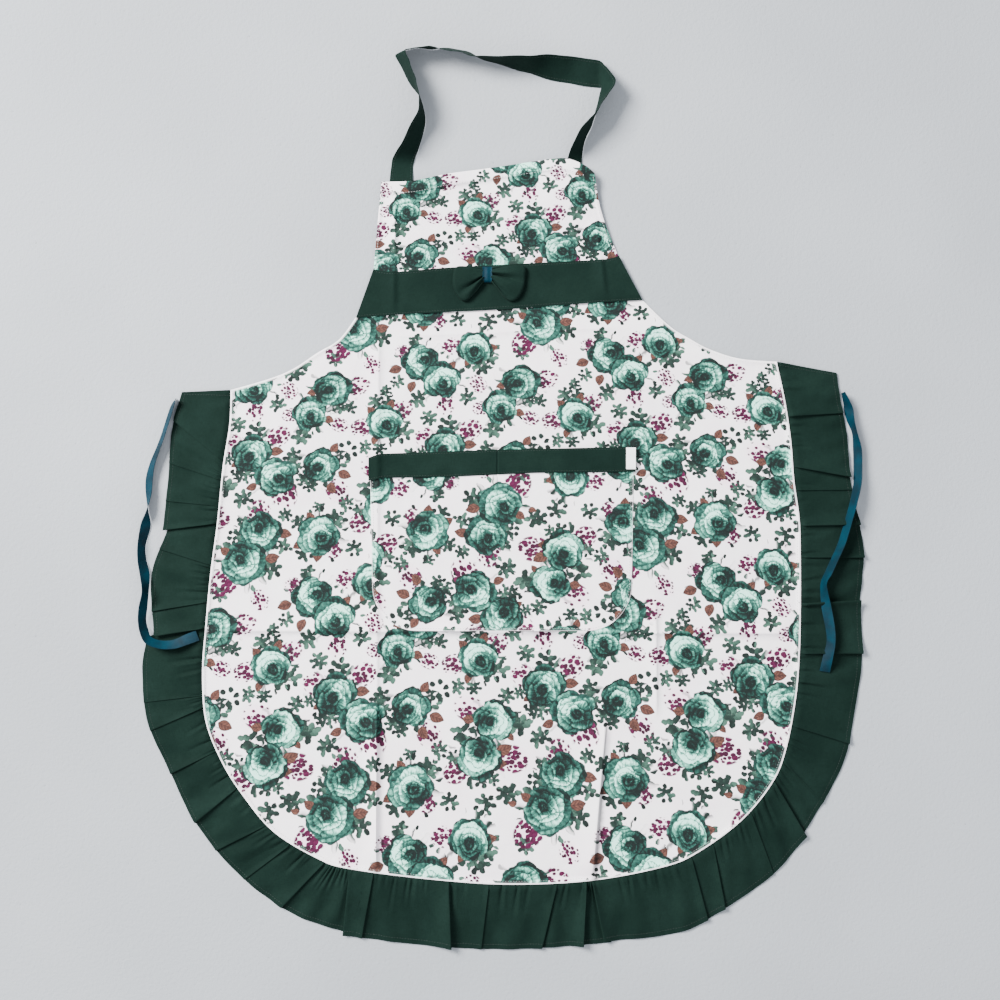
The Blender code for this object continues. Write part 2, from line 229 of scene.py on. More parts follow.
def sheet(name, points, faces, thickness, cloth_places=None, upright=True):
    """A closed thin sheet. The points are its upper side, and the lower side hangs below it."""
    count = len(points)
    normals = vertex_normals(points, faces)
    if upright and normals[:, 2].mean() < 0:
        faces = faces[:, ::-1]
        normals = -normals
    directed = np.concatenate([faces[:, [k, (k + 1) % faces.shape[1]]]
                               for k in range(faces.shape[1])])
    keys = directed[:, 0] * count + directed[:, 1]
    reverse = directed[:, 1] * count + directed[:, 0]
    rim = directed[~np.isin(keys, reverse)]
    vertices = np.vstack([points, points - normals * thickness])
    polygons = faces.tolist() + (faces[:, ::-1] + count).tolist()
    polygons += [(b, a, a + count, b + count) for a, b in rim.tolist()]
    mesh = bpy.data.meshes.new(name)
    mesh.from_pydata(vertices.tolist(), [], polygons)
    mesh.shade_smooth()
    mesh.set_sharp_from_angle(angle=math.radians(60))
    mesh["lower_start"] = len(faces)
    made = bpy.data.objects.new(name, mesh)
    bpy.context.scene.collection.objects.link(made)
    if cloth_places is not None:
        print_on(mesh, np.vstack([cloth_places, cloth_places]))
    return made


def dress(piece, upper, lower=None):
    """The upper material, and another for the underside when one is given."""
    piece.data.materials.append(upper)
    if lower is not None:
        piece.data.materials.append(lower)
        first = piece.data["lower_start"]
        index = np.zeros(len(piece.data.polygons), np.int32)
        index[first:2 * first] = 1
        piece.data.polygons.foreach_set("material_index", index)


# ---- The print, laid on faces ----

def flat_cloth(points):
    """Where points of the apron lie on the flat printed cloth."""
    scale = 1 - PRINT_SHRINK * (points[:, 1] - PRINT_LEVEL)
    up = PRINT_LEVEL + (scale**-0.6 - 1) / (0.6 * PRINT_SHRINK)
    return np.stack([points[:, 0] / scale, up], axis=1)


def bib_cloth(points):
    """The bib is cut from another place of the cloth, a little turned."""
    turn = math.radians(-3.9)
    from_middle = flat_cloth(points) - (-0.0120, 0.3402)
    turned = np.array([[math.cos(turn), -math.sin(turn)], [math.sin(turn), math.cos(turn)]])
    return from_middle @ turned.T + (-0.2093, -0.1739)


def pocket_cloth(points):
    """The pocket is cut upside down."""
    return (-0.1645, -0.2957) - flat_cloth(points)


def nearest_motif(places, motifs):
    """For each place: which motif is the nearest copy, and where that copy's middle is."""
    repeat = np.array([REPEAT_ACROSS, REPEAT_DOWN]).T
    back = np.linalg.inv(repeat)
    best = np.full(len(places), 1e9)
    which = np.zeros(len(places), int)
    middle = np.zeros((len(places), 2))
    for number, motif in enumerate(motifs):
        centre = np.array(motif[:2]) / 1000
        steps = np.round((places - centre) @ back.T)
        copy = centre + steps @ repeat.T
        gap = np.linalg.norm(places - copy, axis=1) / motif[2]
        closer = gap < best
        best[closer] = gap[closer]
        which[closer] = number
        middle[closer] = copy[closer]
    return which, middle


def away_from_rose(motifs):
    """The direction of each motif from its nearest rose, in degrees."""
    roses = BACK_ROSES + FRONT_ROSES
    places = np.array([m[:2] for m in motifs]) / 1000
    _, middle = nearest_motif(places, [(x, y, 17) for x, y, *_ in roses])
    way = places - middle
    return np.degrees(np.arctan2(way[:, 1], way[:, 0]))


def print_on(mesh, cloth_places):
    """Stores on each face corner its place in the motif's own axes, and the motif's number."""
    loops = np.zeros(len(mesh.loops), np.int32)
    mesh.loops.foreach_get("vertex_index", loops)
    totals = np.zeros(len(mesh.polygons), np.int32)
    mesh.polygons.foreach_get("loop_total", totals)
    face_of = np.repeat(np.arange(len(totals)), totals)
    corner = cloth_places[loops]
    middle = np.stack([np.bincount(face_of, corner[:, k]) / totals for k in (0, 1)], axis=1)
    for name, (motifs, scale) in PRINT_LAYERS.items():
        which, centre = nearest_motif(middle, motifs)
        if len(motifs[0]) == 5:
            turns, tones = np.array(motifs)[:, 3:].T
        else:
            turns, tones = away_from_rose(motifs), np.zeros(len(motifs))
        turn = np.radians(turns)[which]
        size = np.array(motifs)[which, 2] / 1000 * scale
        number = which + 0.5 + 0.4 * tones[which]
        offset = corner - centre[face_of]
        c, s = np.cos(turn)[face_of], np.sin(turn)[face_of]
        local = np.stack([
            (offset[:, 0] * c + offset[:, 1] * s) / size[face_of],
            (offset[:, 1] * c - offset[:, 0] * s) / size[face_of],
            number[face_of],
        ], axis=1)
        store = mesh.attributes.new(name, "FLOAT_VECTOR", "CORNER")
        store.data.foreach_set("vector", local.astype(np.float32).ravel())
    place = mesh.attributes.new("cloth_place", "FLOAT_VECTOR", "CORNER")
    three = np.concatenate([corner, np.zeros((len(corner), 1))], axis=1)
    place.data.foreach_set("vector", three.astype(np.float32).ravel())


# ---- Shader building ----

class Wire:
    """The value on a node's socket. Arithmetic on it adds Math nodes."""

    def __init__(self, shader, socket):
        self.shader, self.socket = shader, socket

    def __add__(self, other):
        return self.shader.math("ADD", self, other)

    def __sub__(self, other):
        return self.shader.math("SUBTRACT", self, other)

    def __rsub__(self, other):
        return self.shader.math("SUBTRACT", other, self)

    def __mul__(self, other):
        return self.shader.math("MULTIPLY", self, other)

    def __truediv__(self, other):
        return self.shader.math("DIVIDE", self, other)

    def __pow__(self, other):
        return self.shader.math("POWER", self, other)

    def __abs__(self):
        return self.shader.math("ABSOLUTE", self)


def sine(wire):
    return wire.shader.math("SINE", wire)


def cosine(wire):
    return wire.shader.math("COSINE", wire)


def whole(wire):
    return wire.shader.math("FLOOR", wire)


def fraction(wire):
    return wire.shader.math("FRACT", wire)


class Shader:
    """One material and short ways to add its nodes."""

    def __init__(self, name):
        self.material = bpy.data.materials.new(name)
        self.material.use_nodes = True
        self.tree = self.material.node_tree
        self.tree.nodes.clear()
        self.output = self.tree.nodes.new("ShaderNodeOutputMaterial")

    def node(self, kind, inputs=(), **settings):
        """A new node's outputs."""
        made = self.tree.nodes.new("ShaderNode" + kind)
        for name, value in settings.items():
            setattr(made, name, value)
        for place, value in dict(inputs).items():
            value = getattr(value, "socket", value)
            socket = made.inputs[place]
            if isinstance(value, bpy.types.NodeSocket):
                self.tree.links.new(value, socket)
            elif value is not None:
                wide = socket.type == "RGBA" and len(value) == 3
                socket.default_value = (*value, 1) if wide else value
        return [Wire(self, socket) for socket in made.outputs]

    def math(self, operation, a, b=None):
        return self.node("Math", {0: a, 1: b}, operation=operation)[0]

    def split(self, vector):
        return self.node("SeparateXYZ", {0: vector})

    def join(self, x, y, z=0.0):
        return self.node("CombineXYZ", {0: x, 1: y, 2: z})[0]

    def length(self, x, y):
        return self.node("VectorMath", {0: self.join(x, y)}, operation="LENGTH")[1]

    def mix(self, factor, a, b, blend="MIX"):
        return self.node("Mix", {0: factor, 6: a, 7: b}, data_type="RGBA", blend_type=blend)[2]

    def ramp(self, value, places, tones):
        colour = self.node("ValToRGB", {0: value})[0]
        band = colour.socket.node.color_ramp
        while len(band.elements) < len(tones):
            band.elements.new(0.5)
        for element, place, tone in zip(band.elements, places, tones):
            element.position = place
            element.color = (*tone, 1)
        return colour

    def step(self, value, low, high):
        """0 below low, 1 above high, smooth between; low may be the greater one."""
        return self.node("MapRange", {0: value, 1: low, 2: high, 3: 0.0, 4: 1.0},
                         interpolation_type="SMOOTHSTEP")[0]

    def noise(self, vector, scale, detail=2.0, rough=0.5, colour=False):
        made = self.node("TexNoise", {0: vector, "Scale": scale, "Detail": detail,
                                      "Roughness": rough})
        return made[1 if colour else 0]

    def fibres(self, vector, stretch, detail=1.0):
        """Noise drawn out along an axis. The stretch is its scale along each."""
        drawn = self.node("VectorMath", {0: vector, 1: stretch}, operation="MULTIPLY")[0]
        return self.noise(drawn, 1.0, detail)

    def cells(self, vector, scale, randomness, feature="F1"):
        return self.node("TexVoronoi", {"Vector": vector, "Scale": scale,
                                        "Randomness": randomness}, feature=feature)

    def attribute(self, name):
        return self.node("Attribute", attribute_name=name)[1]

    def motif(self, name):
        """A place in the nearest motif's own axes, and that motif's number."""
        x, y, seed = self.split(self.attribute(name))
        return x, y, whole(seed)

    def place(self):
        return self.node("TexCoord")[3]

    def finish(self, colour, roughness, sheen=0.0, bumps=(), specular=0.3, tint=(1, 1, 1)):
        """The shader itself. A bump is (height, depth in metres)."""
        normal = None
        for height, depth in bumps:
            normal = self.node("Bump", {"Height": height, "Distance": depth, "Strength": 1.0,
                                        "Normal": normal})[0]
        shader = self.node("BsdfPrincipled", {
            "Base Color": colour, "Roughness": roughness, "Sheen Weight": sheen,
            "Sheen Roughness": 0.45, "Sheen Tint": tint, "Specular IOR Level": specular,
            "Normal": normal,
        })[0]
        self.tree.links.new(shader.socket, self.output.inputs[0])
        return self.material


def weave(s, place, pitch, turn=0.0):
    """A plain weave's height: threads over and under each other, pitch apart."""
    x, y, _ = s.split(s.node("VectorRotate", {0: place, "Angle": turn})[0])
    wave = 2 * math.pi / pitch
    return sine(x * wave) * sine(y * wave) * 0.5 + 0.5


# Colours as linear values, as dark as the studio light needs them
WHITE_CLOTH = (0.950, 0.915, 0.935)
PINK_CLOTH = (0.930, 0.840, 0.890)
HALO = (0.9400, 0.7000, 0.8300)          # the faint stain round each spray of berries
CLOTH_BACK = (0.84, 0.83, 0.835)
# painted shade: the colour the tuck's shadow is painted in
TUCK_SHADE = (0.20, 0.21, 0.21)
GREEN = (0.0038, 0.0110, 0.0085)
GREEN_LIGHT = (0.0063, 0.0162, 0.0127)
GREEN_DARK = (0.0014, 0.0052, 0.0040)
BLUE = (0.0006, 0.0240, 0.0400)
BLUE_DARK = (0.0006, 0.0100, 0.0170)
ROSE_TONES = (
    (0.0005, 0.0052, 0.0042), (0.0016, 0.0170, 0.0134), (0.0072, 0.0470, 0.0364),
    (0.0270, 0.1190, 0.0890), (0.1150, 0.3550, 0.2700), (0.4700, 0.8700, 0.7300),
)
LEAF_TONES = ((0.0240, 0.0090, 0.0082), (0.0700, 0.0275, 0.0200), (0.1450, 0.0560, 0.0390))
SPRIG_TONES = ((0.0014, 0.0060, 0.0048), (0.0078, 0.0225, 0.0170), (0.0430, 0.1050, 0.0760))
BERRY_TONES = ((0.0150, 0.0005, 0.0068), (0.0400, 0.0005, 0.0180), (0.1050, 0.0058, 0.0480))
FLOOR_TONES = ((0.300, 0.320, 0.344), (0.342, 0.364, 0.390), (0.180, 0.192, 0.208))


def green_cloth(name):
    s = Shader(name)
    place = s.place()
    cloudy = s.noise(place, 22.0, 3.0)
    threads = s.fibres(place, (2600.0, 240.0, 240.0))
    slubs = (threads + s.fibres(place, (240.0, 2600.0, 240.0))) * 0.5
    woven = weave(s, place, 0.0008)
    tone = s.mix(s.step(cloudy, 0.3, 0.75), GREEN, GREEN_LIGHT)
    tone = s.mix(s.step(slubs, 0.62, 0.3) * 0.4, tone, GREEN_DARK)
    tone = s.mix(woven * 0.12, tone, GREEN_DARK)
    return s.finish(tone, cloudy * 0.12 + 0.72, 0.01,
                    ((woven, 0.00006), (slubs, 0.00008), (s.noise(place, 70.0, 3.0), 0.0007)),
                    specular=0.035, tint=(0.75, 1.0, 0.9))


def ribbon_cloth(name):
    s = Shader(name)
    place = s.place()
    ribs = s.fibres(place, (500.0, 1900.0, 500.0))
    tone = s.mix(s.step(s.noise(place, 60.0, 3.0), 0.3, 0.7), BLUE_DARK, BLUE)
    tone = s.mix(ribs * 0.5, tone, BLUE_DARK)
    return s.finish(tone, ribs * 0.2 + 0.50, 0.01,
                    ((weave(s, place, 0.0006, 0.5), 0.00006), (ribs, 0.00015)),
                    specular=0.09, tint=(0.8, 0.95, 1.0))


def label_tape(name):
    s = Shader(name)
    place = s.place()
    woven = weave(s, place, 0.0007)
    stain = s.noise(place, 300.0, 2.0)
    tone = s.mix(woven * 0.10, (0.90, 0.905, 0.90), (0.74, 0.76, 0.76))
    tone = s.mix(stain * 0.12, tone, (0.70, 0.71, 0.72))
    return s.finish(tone, stain * 0.15 + 0.5, 0.15, ((woven, 0.00006),))


def thread(name, tone):
    s = Shader(name)
    twist = s.fibres(s.place(), (1800.0, 1800.0, 1800.0))
    shade = tuple(c * 0.6 for c in tone)
    return s.finish(s.mix(twist, shade, tone), twist * 0.2 + 0.5, 0.1, ((twist, 0.0001),))


def rose(s, name):
    """One layer of roses: its colour and where it covers."""
    x, y, seed = s.split(s.attribute(name))
    number = whole(seed)
    tone = (fraction(seed) - 0.5) / 0.4
    bent = s.split(s.noise(s.join(x, y, number * 3.7), 1.9, 3.0, 0.6, colour=True))
    wx, wy = bent[0] - 0.5, bent[1] - 0.5
    # Outline: the free edges of five outer petals, ruffled
    round_a = s.math("ARCTAN2", y, x)
    lobes = abs(sine(round_a * 2.5 + number * 2.3))
    small = abs(sine(round_a * 7.5 + number))
    inside_by = lobes * 0.15 + 0.86 + small * 0.035 + wx * 0.25 - s.length(x, y)
    # Petals: cells wrapped round a heart set to one side, so that each is an arc
    hx = wx * 0.34 + x - 0.20
    hy = (wy * 0.34 + y) * 1.10
    r = s.length(hx, hy)
    a = s.math("ARCTAN2", hy, hx)
    cos_a, sin_a = cosine(a), sine(a)
    out = number * 9.0 + r**0.85 * 4.3
    wrapped = s.join(cos_a * 0.95, sin_a * 0.95, out)
    _, shade, middle, *_ = s.cells(wrapped, 1.0, 0.8)
    rim = s.cells(wrapped, 1.0, 0.8, "DISTANCE_TO_EDGE")[0]
    streaks = s.noise(s.join(cos_a * 3.2, sin_a * 3.2, out * 0.55), 2.3, 3.0, 0.6)
    toward = (cosine(a + 0.4) * -0.62 + 0.38) * s.step(r, 0.16, 0.42) * s.step(r, 1.08, 0.66)
    curl = sine(r * 24.0 + a) * s.step(r, 0.42, 0.20)
    light = s.step(out - s.split(middle)[2], -0.50, 0.36) * 0.36 + 0.05
    for part, amount in (
            (s.split(shade)[0] - 0.5, 0.40), (toward, 0.64), (streaks - 0.5, 1.05), (tone, 0.08),
            (s.step(rim, 0.10, 0.01), -0.24), (s.step(r, 0.40, 0.08), -0.27), (curl, 0.17),
            (s.step(r, 0.62, 0.92), 0.10), (s.step(inside_by, 0.08, 0.0), -0.12)):
        light = light + part * amount
    tint = s.ramp(light, (0.02, 0.16, 0.34, 0.54, 0.72, 0.90), ROSE_TONES)
    return tint, s.step(inside_by, -0.01, 0.03)


def leaf(s):
    x, y, number = s.motif("leaf")
    y = y + abs(x)**2.0 * (sine(number * 5.0) * 0.22)
    half = (1.0 - abs(x)**2.2) * (x * -0.16 + 0.68)
    margin = half - abs(y)
    ribs = sine((x - abs(y)) * 14.0)
    light = ribs * 0.10 + s.noise(s.join(x, y, number), 2.2, 3.0, 0.6)
    tint = s.ramp(light, (0.22, 0.5, 0.82), LEAF_TONES)
    tint = s.mix(s.step(abs(y), 0.10, 0.03) * 0.6, tint, LEAF_TONES[0])
    tint = s.mix(s.step(margin, 0.14, 0.02) * 0.5, tint, LEAF_TONES[0])
    return tint, s.step(margin, -0.02, 0.05) * s.step(s.length(x, y), 1.3, 1.2)


def leaflets(s, x, y, number, count, middle, length, width, shift):
    """A ring of small leaves: where they cover, and a chance and a place across for each."""
    r = s.length(x, y)
    turn = 2 * math.pi
    slot = s.math("ARCTAN2", y, x) / turn * float(count) + (number * 0.37 + shift)
    angle = (fraction(slot) - 0.5) * (turn / count)
    chance = s.node("TexWhiteNoise", {"Vector": s.join(whole(slot), number, shift)},
                    noise_dimensions="3D")[0]
    along = (r * cosine(angle) - (chance * 0.16 + (middle - 0.08))) / length
    across = r * sine(angle) / width
    cover = s.step(along**2.0 + across**2.0, 1.05, 0.85)
    return cover * s.math("GREATER_THAN", chance, 0.08), chance, across


def leaf_cluster(s, motif, depth, bend_scale, bend, inner, outer, grain, varied, places):
    """Two rings of small leaves about a motif: place, number, colour and where they cover."""
    x, y, number = s.motif(motif)
    flat = s.join(x, y, number * depth)
    bent = s.split(s.noise(flat, bend_scale, 2.0, 0.5, colour=True))
    x, y = (bent[0] - 0.5) * bend + x, (bent[1] - 0.5) * bend + y
    lower, chance, across = leaflets(s, x, y, number, *inner)
    upper = leaflets(s, x, y, number, *outer)[0]
    light = chance * varied + s.noise(flat, grain, 3.0, 0.7) * 0.6 + across * 0.14
    return x, y, number, s.ramp(light, places, SPRIG_TONES), s.math("MAXIMUM", lower, upper)


def sprig(s):
    x, y, _, tint, cover = leaf_cluster(
        s, "sprig", 1.0, 1.6, 0.30, (5, 0.38, 0.36, 0.29, 0.2), (7, 0.79, 0.30, 0.245, 0.7),
        5.0, 0.5, (0.22, 0.55, 0.86))
    return s.mix(s.step(s.length(x, y), 0.16, 0.06), tint, SPRIG_TONES[0]), cover


def posy(s, name):
    """Small leaves that look out from under each rose on some of its sides."""
    x, y, number, tint, cover = leaf_cluster(
        s, name, 5.3, 2.6, 0.28, (10, 1.08, 0.24, 0.15, 0.4), (15, 1.26, 0.15, 0.085, 0.1),
        6.0, 0.45, (0.25, 0.58, 0.90))
    way = s.node("VectorMath", {0: s.join(x, y, number * 0.01)}, operation="NORMALIZE")[0]
    return tint, cover * s.step(s.noise(way, 1.3, 1.0), 0.51, 0.57)


def berries(s):
    """Sprays of small blossoms: their colour, where they cover, and the stain about them."""
    x, y, number = s.motif("berry")
    y = y * 1.25
    flat = s.join(x, y, number * 11.3)
    distance, shade, *_ = s.cells(flat, 2.9, 0.80)
    chance, other, _ = s.split(shade)
    spread = s.length(x, y)
    size = (chance * 0.26 + 0.52) * (spread * -0.34 + 1.04)
    gap = size - (distance + (s.noise(flat, 9.0, 1.0) - 0.5) * 0.14)
    keep = s.math("GREATER_THAN", other, spread * 0.34 - 0.28)
    light = chance * 0.3 + s.noise(flat, 6.0, 2.0) * 0.8
    return (s.ramp(light, (0.30, 0.58, 0.92), BERRY_TONES),
            s.step(gap, -0.01, 0.04) * s.step(spread, 1.05, 0.92) * keep,
            s.step(spread, 1.30, 0.35) * 0.90)


def printed_cloth(name, face=True):
    """The floral cloth. Its back shows the print only faintly."""
    s = Shader(name)
    cloth = s.attribute("cloth_place")
    woven = weave(s, cloth, 0.0007)
    cloudy = s.noise(cloth, 30.0, 2.0)
    berry, on_berry, halo = berries(s)
    tint = s.mix(s.step(cloudy, 0.35, 0.75), WHITE_CLOTH, PINK_CLOTH)
    tint = s.mix(halo, tint, HALO)
    for tone, cover in (sprig(s), posy(s, "rose_back"), posy(s, "rose_front"), (berry, on_berry),
                        leaf(s), rose(s, "rose_back"), rose(s, "rose_front")):
        tint = s.mix(cover, tint, tone)
    # The hem mark holds the white edge and the tuck's painted shade, which is multiplied into the
    # colour
    hem, shaded, _ = s.split(s.attribute("hem"))
    tint = s.mix(hem * 0.92, tint, WHITE_CLOTH)
    tint = s.mix(shaded, tint, TUCK_SHADE, "MULTIPLY")
    if not face:
        tint = s.mix(0.80, tint, CLOTH_BACK)
    tint = s.mix(woven * 0.07, tint, (0.30, 0.29, 0.30))
    slubs = s.fibres(cloth, (1900.0, 190.0, 1.0), 2.0)
    return s.finish(tint, cloudy * 0.1 + 0.72, 0.0,
                    ((woven, 0.00007), (slubs, 0.00012), (s.noise(cloth, 60.0, 3.0), 0.0007)),
                    specular=0.03)


def floor_surface(name):
    s = Shader(name)
    place = s.place()
    speck = s.noise(place, 260.0, 3.0, 0.7)
    tint = s.mix(s.step(s.noise(place, 3.0, 3.0), 0.3, 0.7), FLOOR_TONES[0], FLOOR_TONES[1])
    tint = s.mix(s.step(speck, 0.34, 0.20), tint, FLOOR_TONES[2])
    return s.finish(tint, 0.75, 0.0, ((speck, 0.0005),), specular=0.2)


# ---- The shape of the lying cloth ----

BASE_HEIGHT = 0.0006       # the apron's back rests this far above the surface on average
WAVE_HEIGHT = 0.00085      # height of the random waves
PUFF_RISE = 2.2            # how much taller the swells are than in their rows
PUFF_SPOTS = (             # broad soft swells: x, y, reach, height
    (-0.0960, 0.2960, 0.030, 0.0012), (0.0700, 0.3120, 0.030, 0.0014),
    (0.1900, -0.0300, 0.070, 0.0016), (-0.2000, -0.2300, 0.080, 0.0014),
    (0.0200, -0.2600, 0.080, 0.0012), (0.0400, 0.1000, 0.080, 0.0012),
    (-0.2000, 0.0400, 0.060, 0.0014), (0.2200, -0.2200, 0.070, 0.0014),
    (0.0300, 0.2750, 0.050, 0.0010),
)
CREASE_END = 0.024         # a crease fades out over this length
CREASE_OFFSETS = (0.0, 0.0012, -0.0012, 0.0026, -0.0026)
LONG_TUCK = ((0.0990, -0.2050), (0.0850, -0.3680), 0.0045, 0.030, -0.88)
TUCK_FOOT = ((0.0998, -0.2050), (0.0902, -0.3680))
CREASES = (                # packing creases: from, to, height, half width, steeper side
    ((-0.1190, 0.1660), (-0.1215, -0.3600), 0.0020, 0.016, -0.7),
    ((-0.1205, -0.1900), (-0.1215, -0.3640), 0.0030, 0.016, -0.8),
    LONG_TUCK,
    ((0.1460, -0.0900), (0.1470, -0.2150), 0.0026, 0.016, -0.75),
    ((-0.2840, -0.1262), (0.2840, -0.1290), 0.0034, 0.020, 0.75),
    ((-0.1104, 0.1550), (0.1170, 0.1637), 0.0014, 0.010, 0.6),
    ((-0.1030, 0.2950), (-0.1045, 0.1700), 0.0026, 0.014, -0.75),
    ((0.0880, 0.2750), (0.0995, 0.1850), 0.0026, 0.014, -0.75),
)


def relief(points):
    """How high the lying cloth's underside is above the surface, at places of the apron."""
    x, y = points[:, 0], points[:, 1]
    draw = np.random.default_rng(7)
    height = np.zeros(len(points))
    for _ in range(9):
        way = draw.uniform(0, math.pi)
        span = draw.uniform(0.07, 0.20)
        phase = draw.uniform(0, 2 * math.pi)
        height += np.sin((x * math.cos(way) + y * math.sin(way)) * 2 * math.pi / span + phase)
    height = BASE_HEIGHT + WAVE_HEIGHT * (height / 3 + 1).clip(0)
    for px, py, reach, tall in PUFF_SPOTS:
        height += PUFF_RISE * tall * np.exp(-((x - px)**2 + (y - py)**2) / reach**2)
    for (ax, ay), (bx, by), tall, half, steep in CREASES:
        along = np.array([bx - ax, by - ay])
        long = np.linalg.norm(along)
        along /= long
        place = (x - ax) * along[0] + (y - ay) * along[1]
        side = (x - ax) * along[1] - (y - ay) * along[0]
        wide = half * np.where(side * steep > 0, 1 - abs(steep) * 0.93, 1.0)
        tent = (1 - np.abs(side) / wide).clip(0)**1.7
        ends = (np.minimum(place, long - place) / CREASE_END).clip(0, 1)
        height += tall * tent * ends * ends * (3 - 2 * ends)
    return height


def crease_lines():
    """Rows of points that keep the creases sharp in a filled sheet."""
    rows = []
    for start, end, *_ in CREASES:
        a, b = np.array(start), np.array(end)
        along = (b - a) / np.linalg.norm(b - a)
        side = np.array([along[1], -along[0]])
        line = resampled([a, b], 0.0028)
        rows += [line + side * off for off in CREASE_OFFSETS]
    return rows


def beside(line, distance):
    """A line set off to the left of another, which is evenly sampled."""
    line = np.asarray(line, float)
    run = np.gradient(line, axis=0)
    run /= np.linalg.norm(run, axis=1, keepdims=True)
    return line + np.stack([-run[:, 1], run[:, 0]], axis=1) * distance


def fade(value, low, high):
    """0 at low, 1 at high, smooth between."""
    t = np.clip((value - low) / (high - low), 0, 1)
    return t * t * (3 - 2 * t)


def with_height(points, height):
    return np.concatenate([points, np.asarray(height, float).reshape(-1, 1)], axis=1)


def tuck_shade(points):
    """How much painted shade each place gets, down the steep side of the tuck."""
    a, b = np.array(TUCK_FOOT)
    long = np.linalg.norm(b - a)
    along = (b - a) / long
    place, side = (points - a) @ along, (points - a) @ np.array([along[1], -along[0]])
    wide = 0.0014 + 0.0064 * (place / long).clip(0, 1)
    ends = fade(place, 0.0, 0.006) * (1 - fade(place, long - 0.001, long + 0.004))
    return 0.85 * ends * fade(side, -0.0007, 0.0) * (1 - fade(side, 0.15 * wide, wide))


def hem_and_shade_mark(piece, values, shaded=None):
    """Marks how far each point belongs to a plain white edge, and its painted shade."""
    store = piece.data.attributes.new("hem", "FLOAT_VECTOR", "POINT")
    three = np.repeat(np.concatenate([values, values])[:, None], 3, axis=1)
    three[:, 1] = 0 if shaded is None else np.concatenate([shaded, shaded])
    store.data.foreach_set("vector", three.astype(np.float32).ravel())


def between(a, b, rows):
    """Rows of points from line a to line b."""
    share = np.linspace(0, 1, rows)[:, None, None]
    return a * (1 - share) + b * share


def strip(lower, upper, count, rows):
    """A grid of points between two lines, from evenly spread places on both."""
    def spread(line):
        line = np.asarray(line, float)
        runs = np.linalg.norm(np.diff(line, axis=0), axis=1)
        place = np.concatenate([[0], np.cumsum(runs)]) / runs.sum()
        at = np.linspace(0, 1, count)
        return np.stack([np.interp(at, place, line[:, k]) for k in (0, 1)], axis=1)
    return between(spread(lower), spread(upper), rows)


def grid_faces(rows, columns):
    index = np.arange(rows * columns).reshape(rows, columns)
    return np.stack([index[:-1, :-1], index[:-1, 1:], index[1:, 1:], index[1:, :-1]],
                    axis=-1).reshape(-1, 4)


# ---- Printed panels ----

SEAM_LINE = even(FRILL_SEAM, steps=6)
HEM_WIDTH = 0.0026
EDGE_RISE = 0.0014
FINE = 0.0032              # spacing of points inside a panel
HEM_ROWS = (0.0009, 0.0024, 0.0031)


def fine(*lines):
    """The points of several lines, close together."""
    return np.vstack([resampled(line, FINE_STEP) for line in lines])


def body_panel(face, back):
    top = np.array(BAND_SEAM)
    right, left = even(ARMHOLE_RIGHT), even(ARMHOLE_LEFT)
    outline = np.vstack([
        resampled(top, EDGE_STEP)[:-1], right[:-1], SEAM_LINE[::-1][:-1], left[::-1][:-1],
    ])
    edges = [beside(SEAM_LINE, d) for d in (0.0009, 0.0019, 0.0028)]
    edges += [beside(left, d) for d in HEM_ROWS] + [beside(right, -d) for d in HEM_ROWS]
    edges = [edge[1:-1] for edge in edges]
    places, faces = filled(outline, FINE, edges + crease_lines())
    to_seam = distance_to(places, resampled(SEAM_LINE, FINE_STEP))
    to_arm = distance_to(places, fine(left, right))
    to_band = distance_to(places, resampled(top, 0.001))
    height = CLOTH + relief(places) * (0.35 + 0.65 * fade(to_band, 0.002, 0.040))
    height += EDGE_RISE * (1 - fade(to_seam, 0.0016, 0.0034))
    height += 0.0005 * (1 - fade(to_arm, HEM_WIDTH, HEM_WIDTH + 0.0007))
    height -= 0.0003 * (1 - fade(np.minimum(to_seam, to_arm), 0.0, 0.0010))
    panel = sheet("body_cloth", with_height(places, height), faces, CLOTH, flat_cloth(places))
    white = np.maximum(1 - fade(to_seam, 0.0010, 0.0016), 1 - fade(to_arm, 0.0018, 0.0025))
    # the tuck's shadow is painted into the cloth's colour through this mark
    hem_and_shade_mark(panel, white, tuck_shade(places))
    dress(panel, face, back)
    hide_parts("body_panel")
    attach(panel, "body")
    return panel


def bib_height(places):
    to_top = distance_to(places, even(BIB_TOP, FINE_STEP))
    to_band = distance_to(places, even(BAND_TOP, 0.001))
    height = CLOTH + relief(places) * (0.35 + 0.65 * fade(to_band, 0.002, 0.030))
    height += 0.0016 * (1 - fade(to_top, 0.0112, 0.0122))
    return height, to_top


def bib_panel(face, back):
    bottom, right, top, left = map(even, (BAND_TOP, BIB_RIGHT, BIB_TOP, BIB_LEFT))
    outline = np.vstack([bottom[:-1], right[:-1], top[:-1], left[:-1]])
    edges = [beside(top, d)[2:-2] for d in (0.0010, 0.0108, 0.0116, 0.0124)]
    edges += [beside(side, d)[1:-1] for side in (left, right) for d in HEM_ROWS]
    places, faces = filled(outline, FINE, edges + crease_lines())
    height, to_top = bib_height(places)
    to_side = distance_to(places, fine(left, right))
    height += 0.0005 * (1 - fade(to_side, 0.0026, 0.0033))
    height -= 0.0003 * (1 - fade(np.minimum(to_top, to_side), 0.0, 0.0010))
    panel = sheet("bib_cloth", with_height(places, height), faces, CLOTH, bib_cloth(places))
    hem_and_shade_mark(panel, np.zeros(len(places)))
    dress(panel, face, back)
    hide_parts("bib_panel")
    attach(panel, "bib")
    return panel


POCKET_TOP_LEFT = (-0.1271, 0.0280)
POCKET_TOP_RIGHT = (0.1252, 0.0372)
POCKET_BOTTOM = -0.1265
POCKET_CORNER = 0.043
POCKET_RISE = 0.0010       # the pocket's top side above the body's


def arc(centre, radius, start, end, steps=14):
    angles = np.radians(np.linspace(start, end, steps + 1))
    return np.stack([centre[0] + radius * np.cos(angles), centre[1] + radius * np.sin(angles)],
                    axis=1)


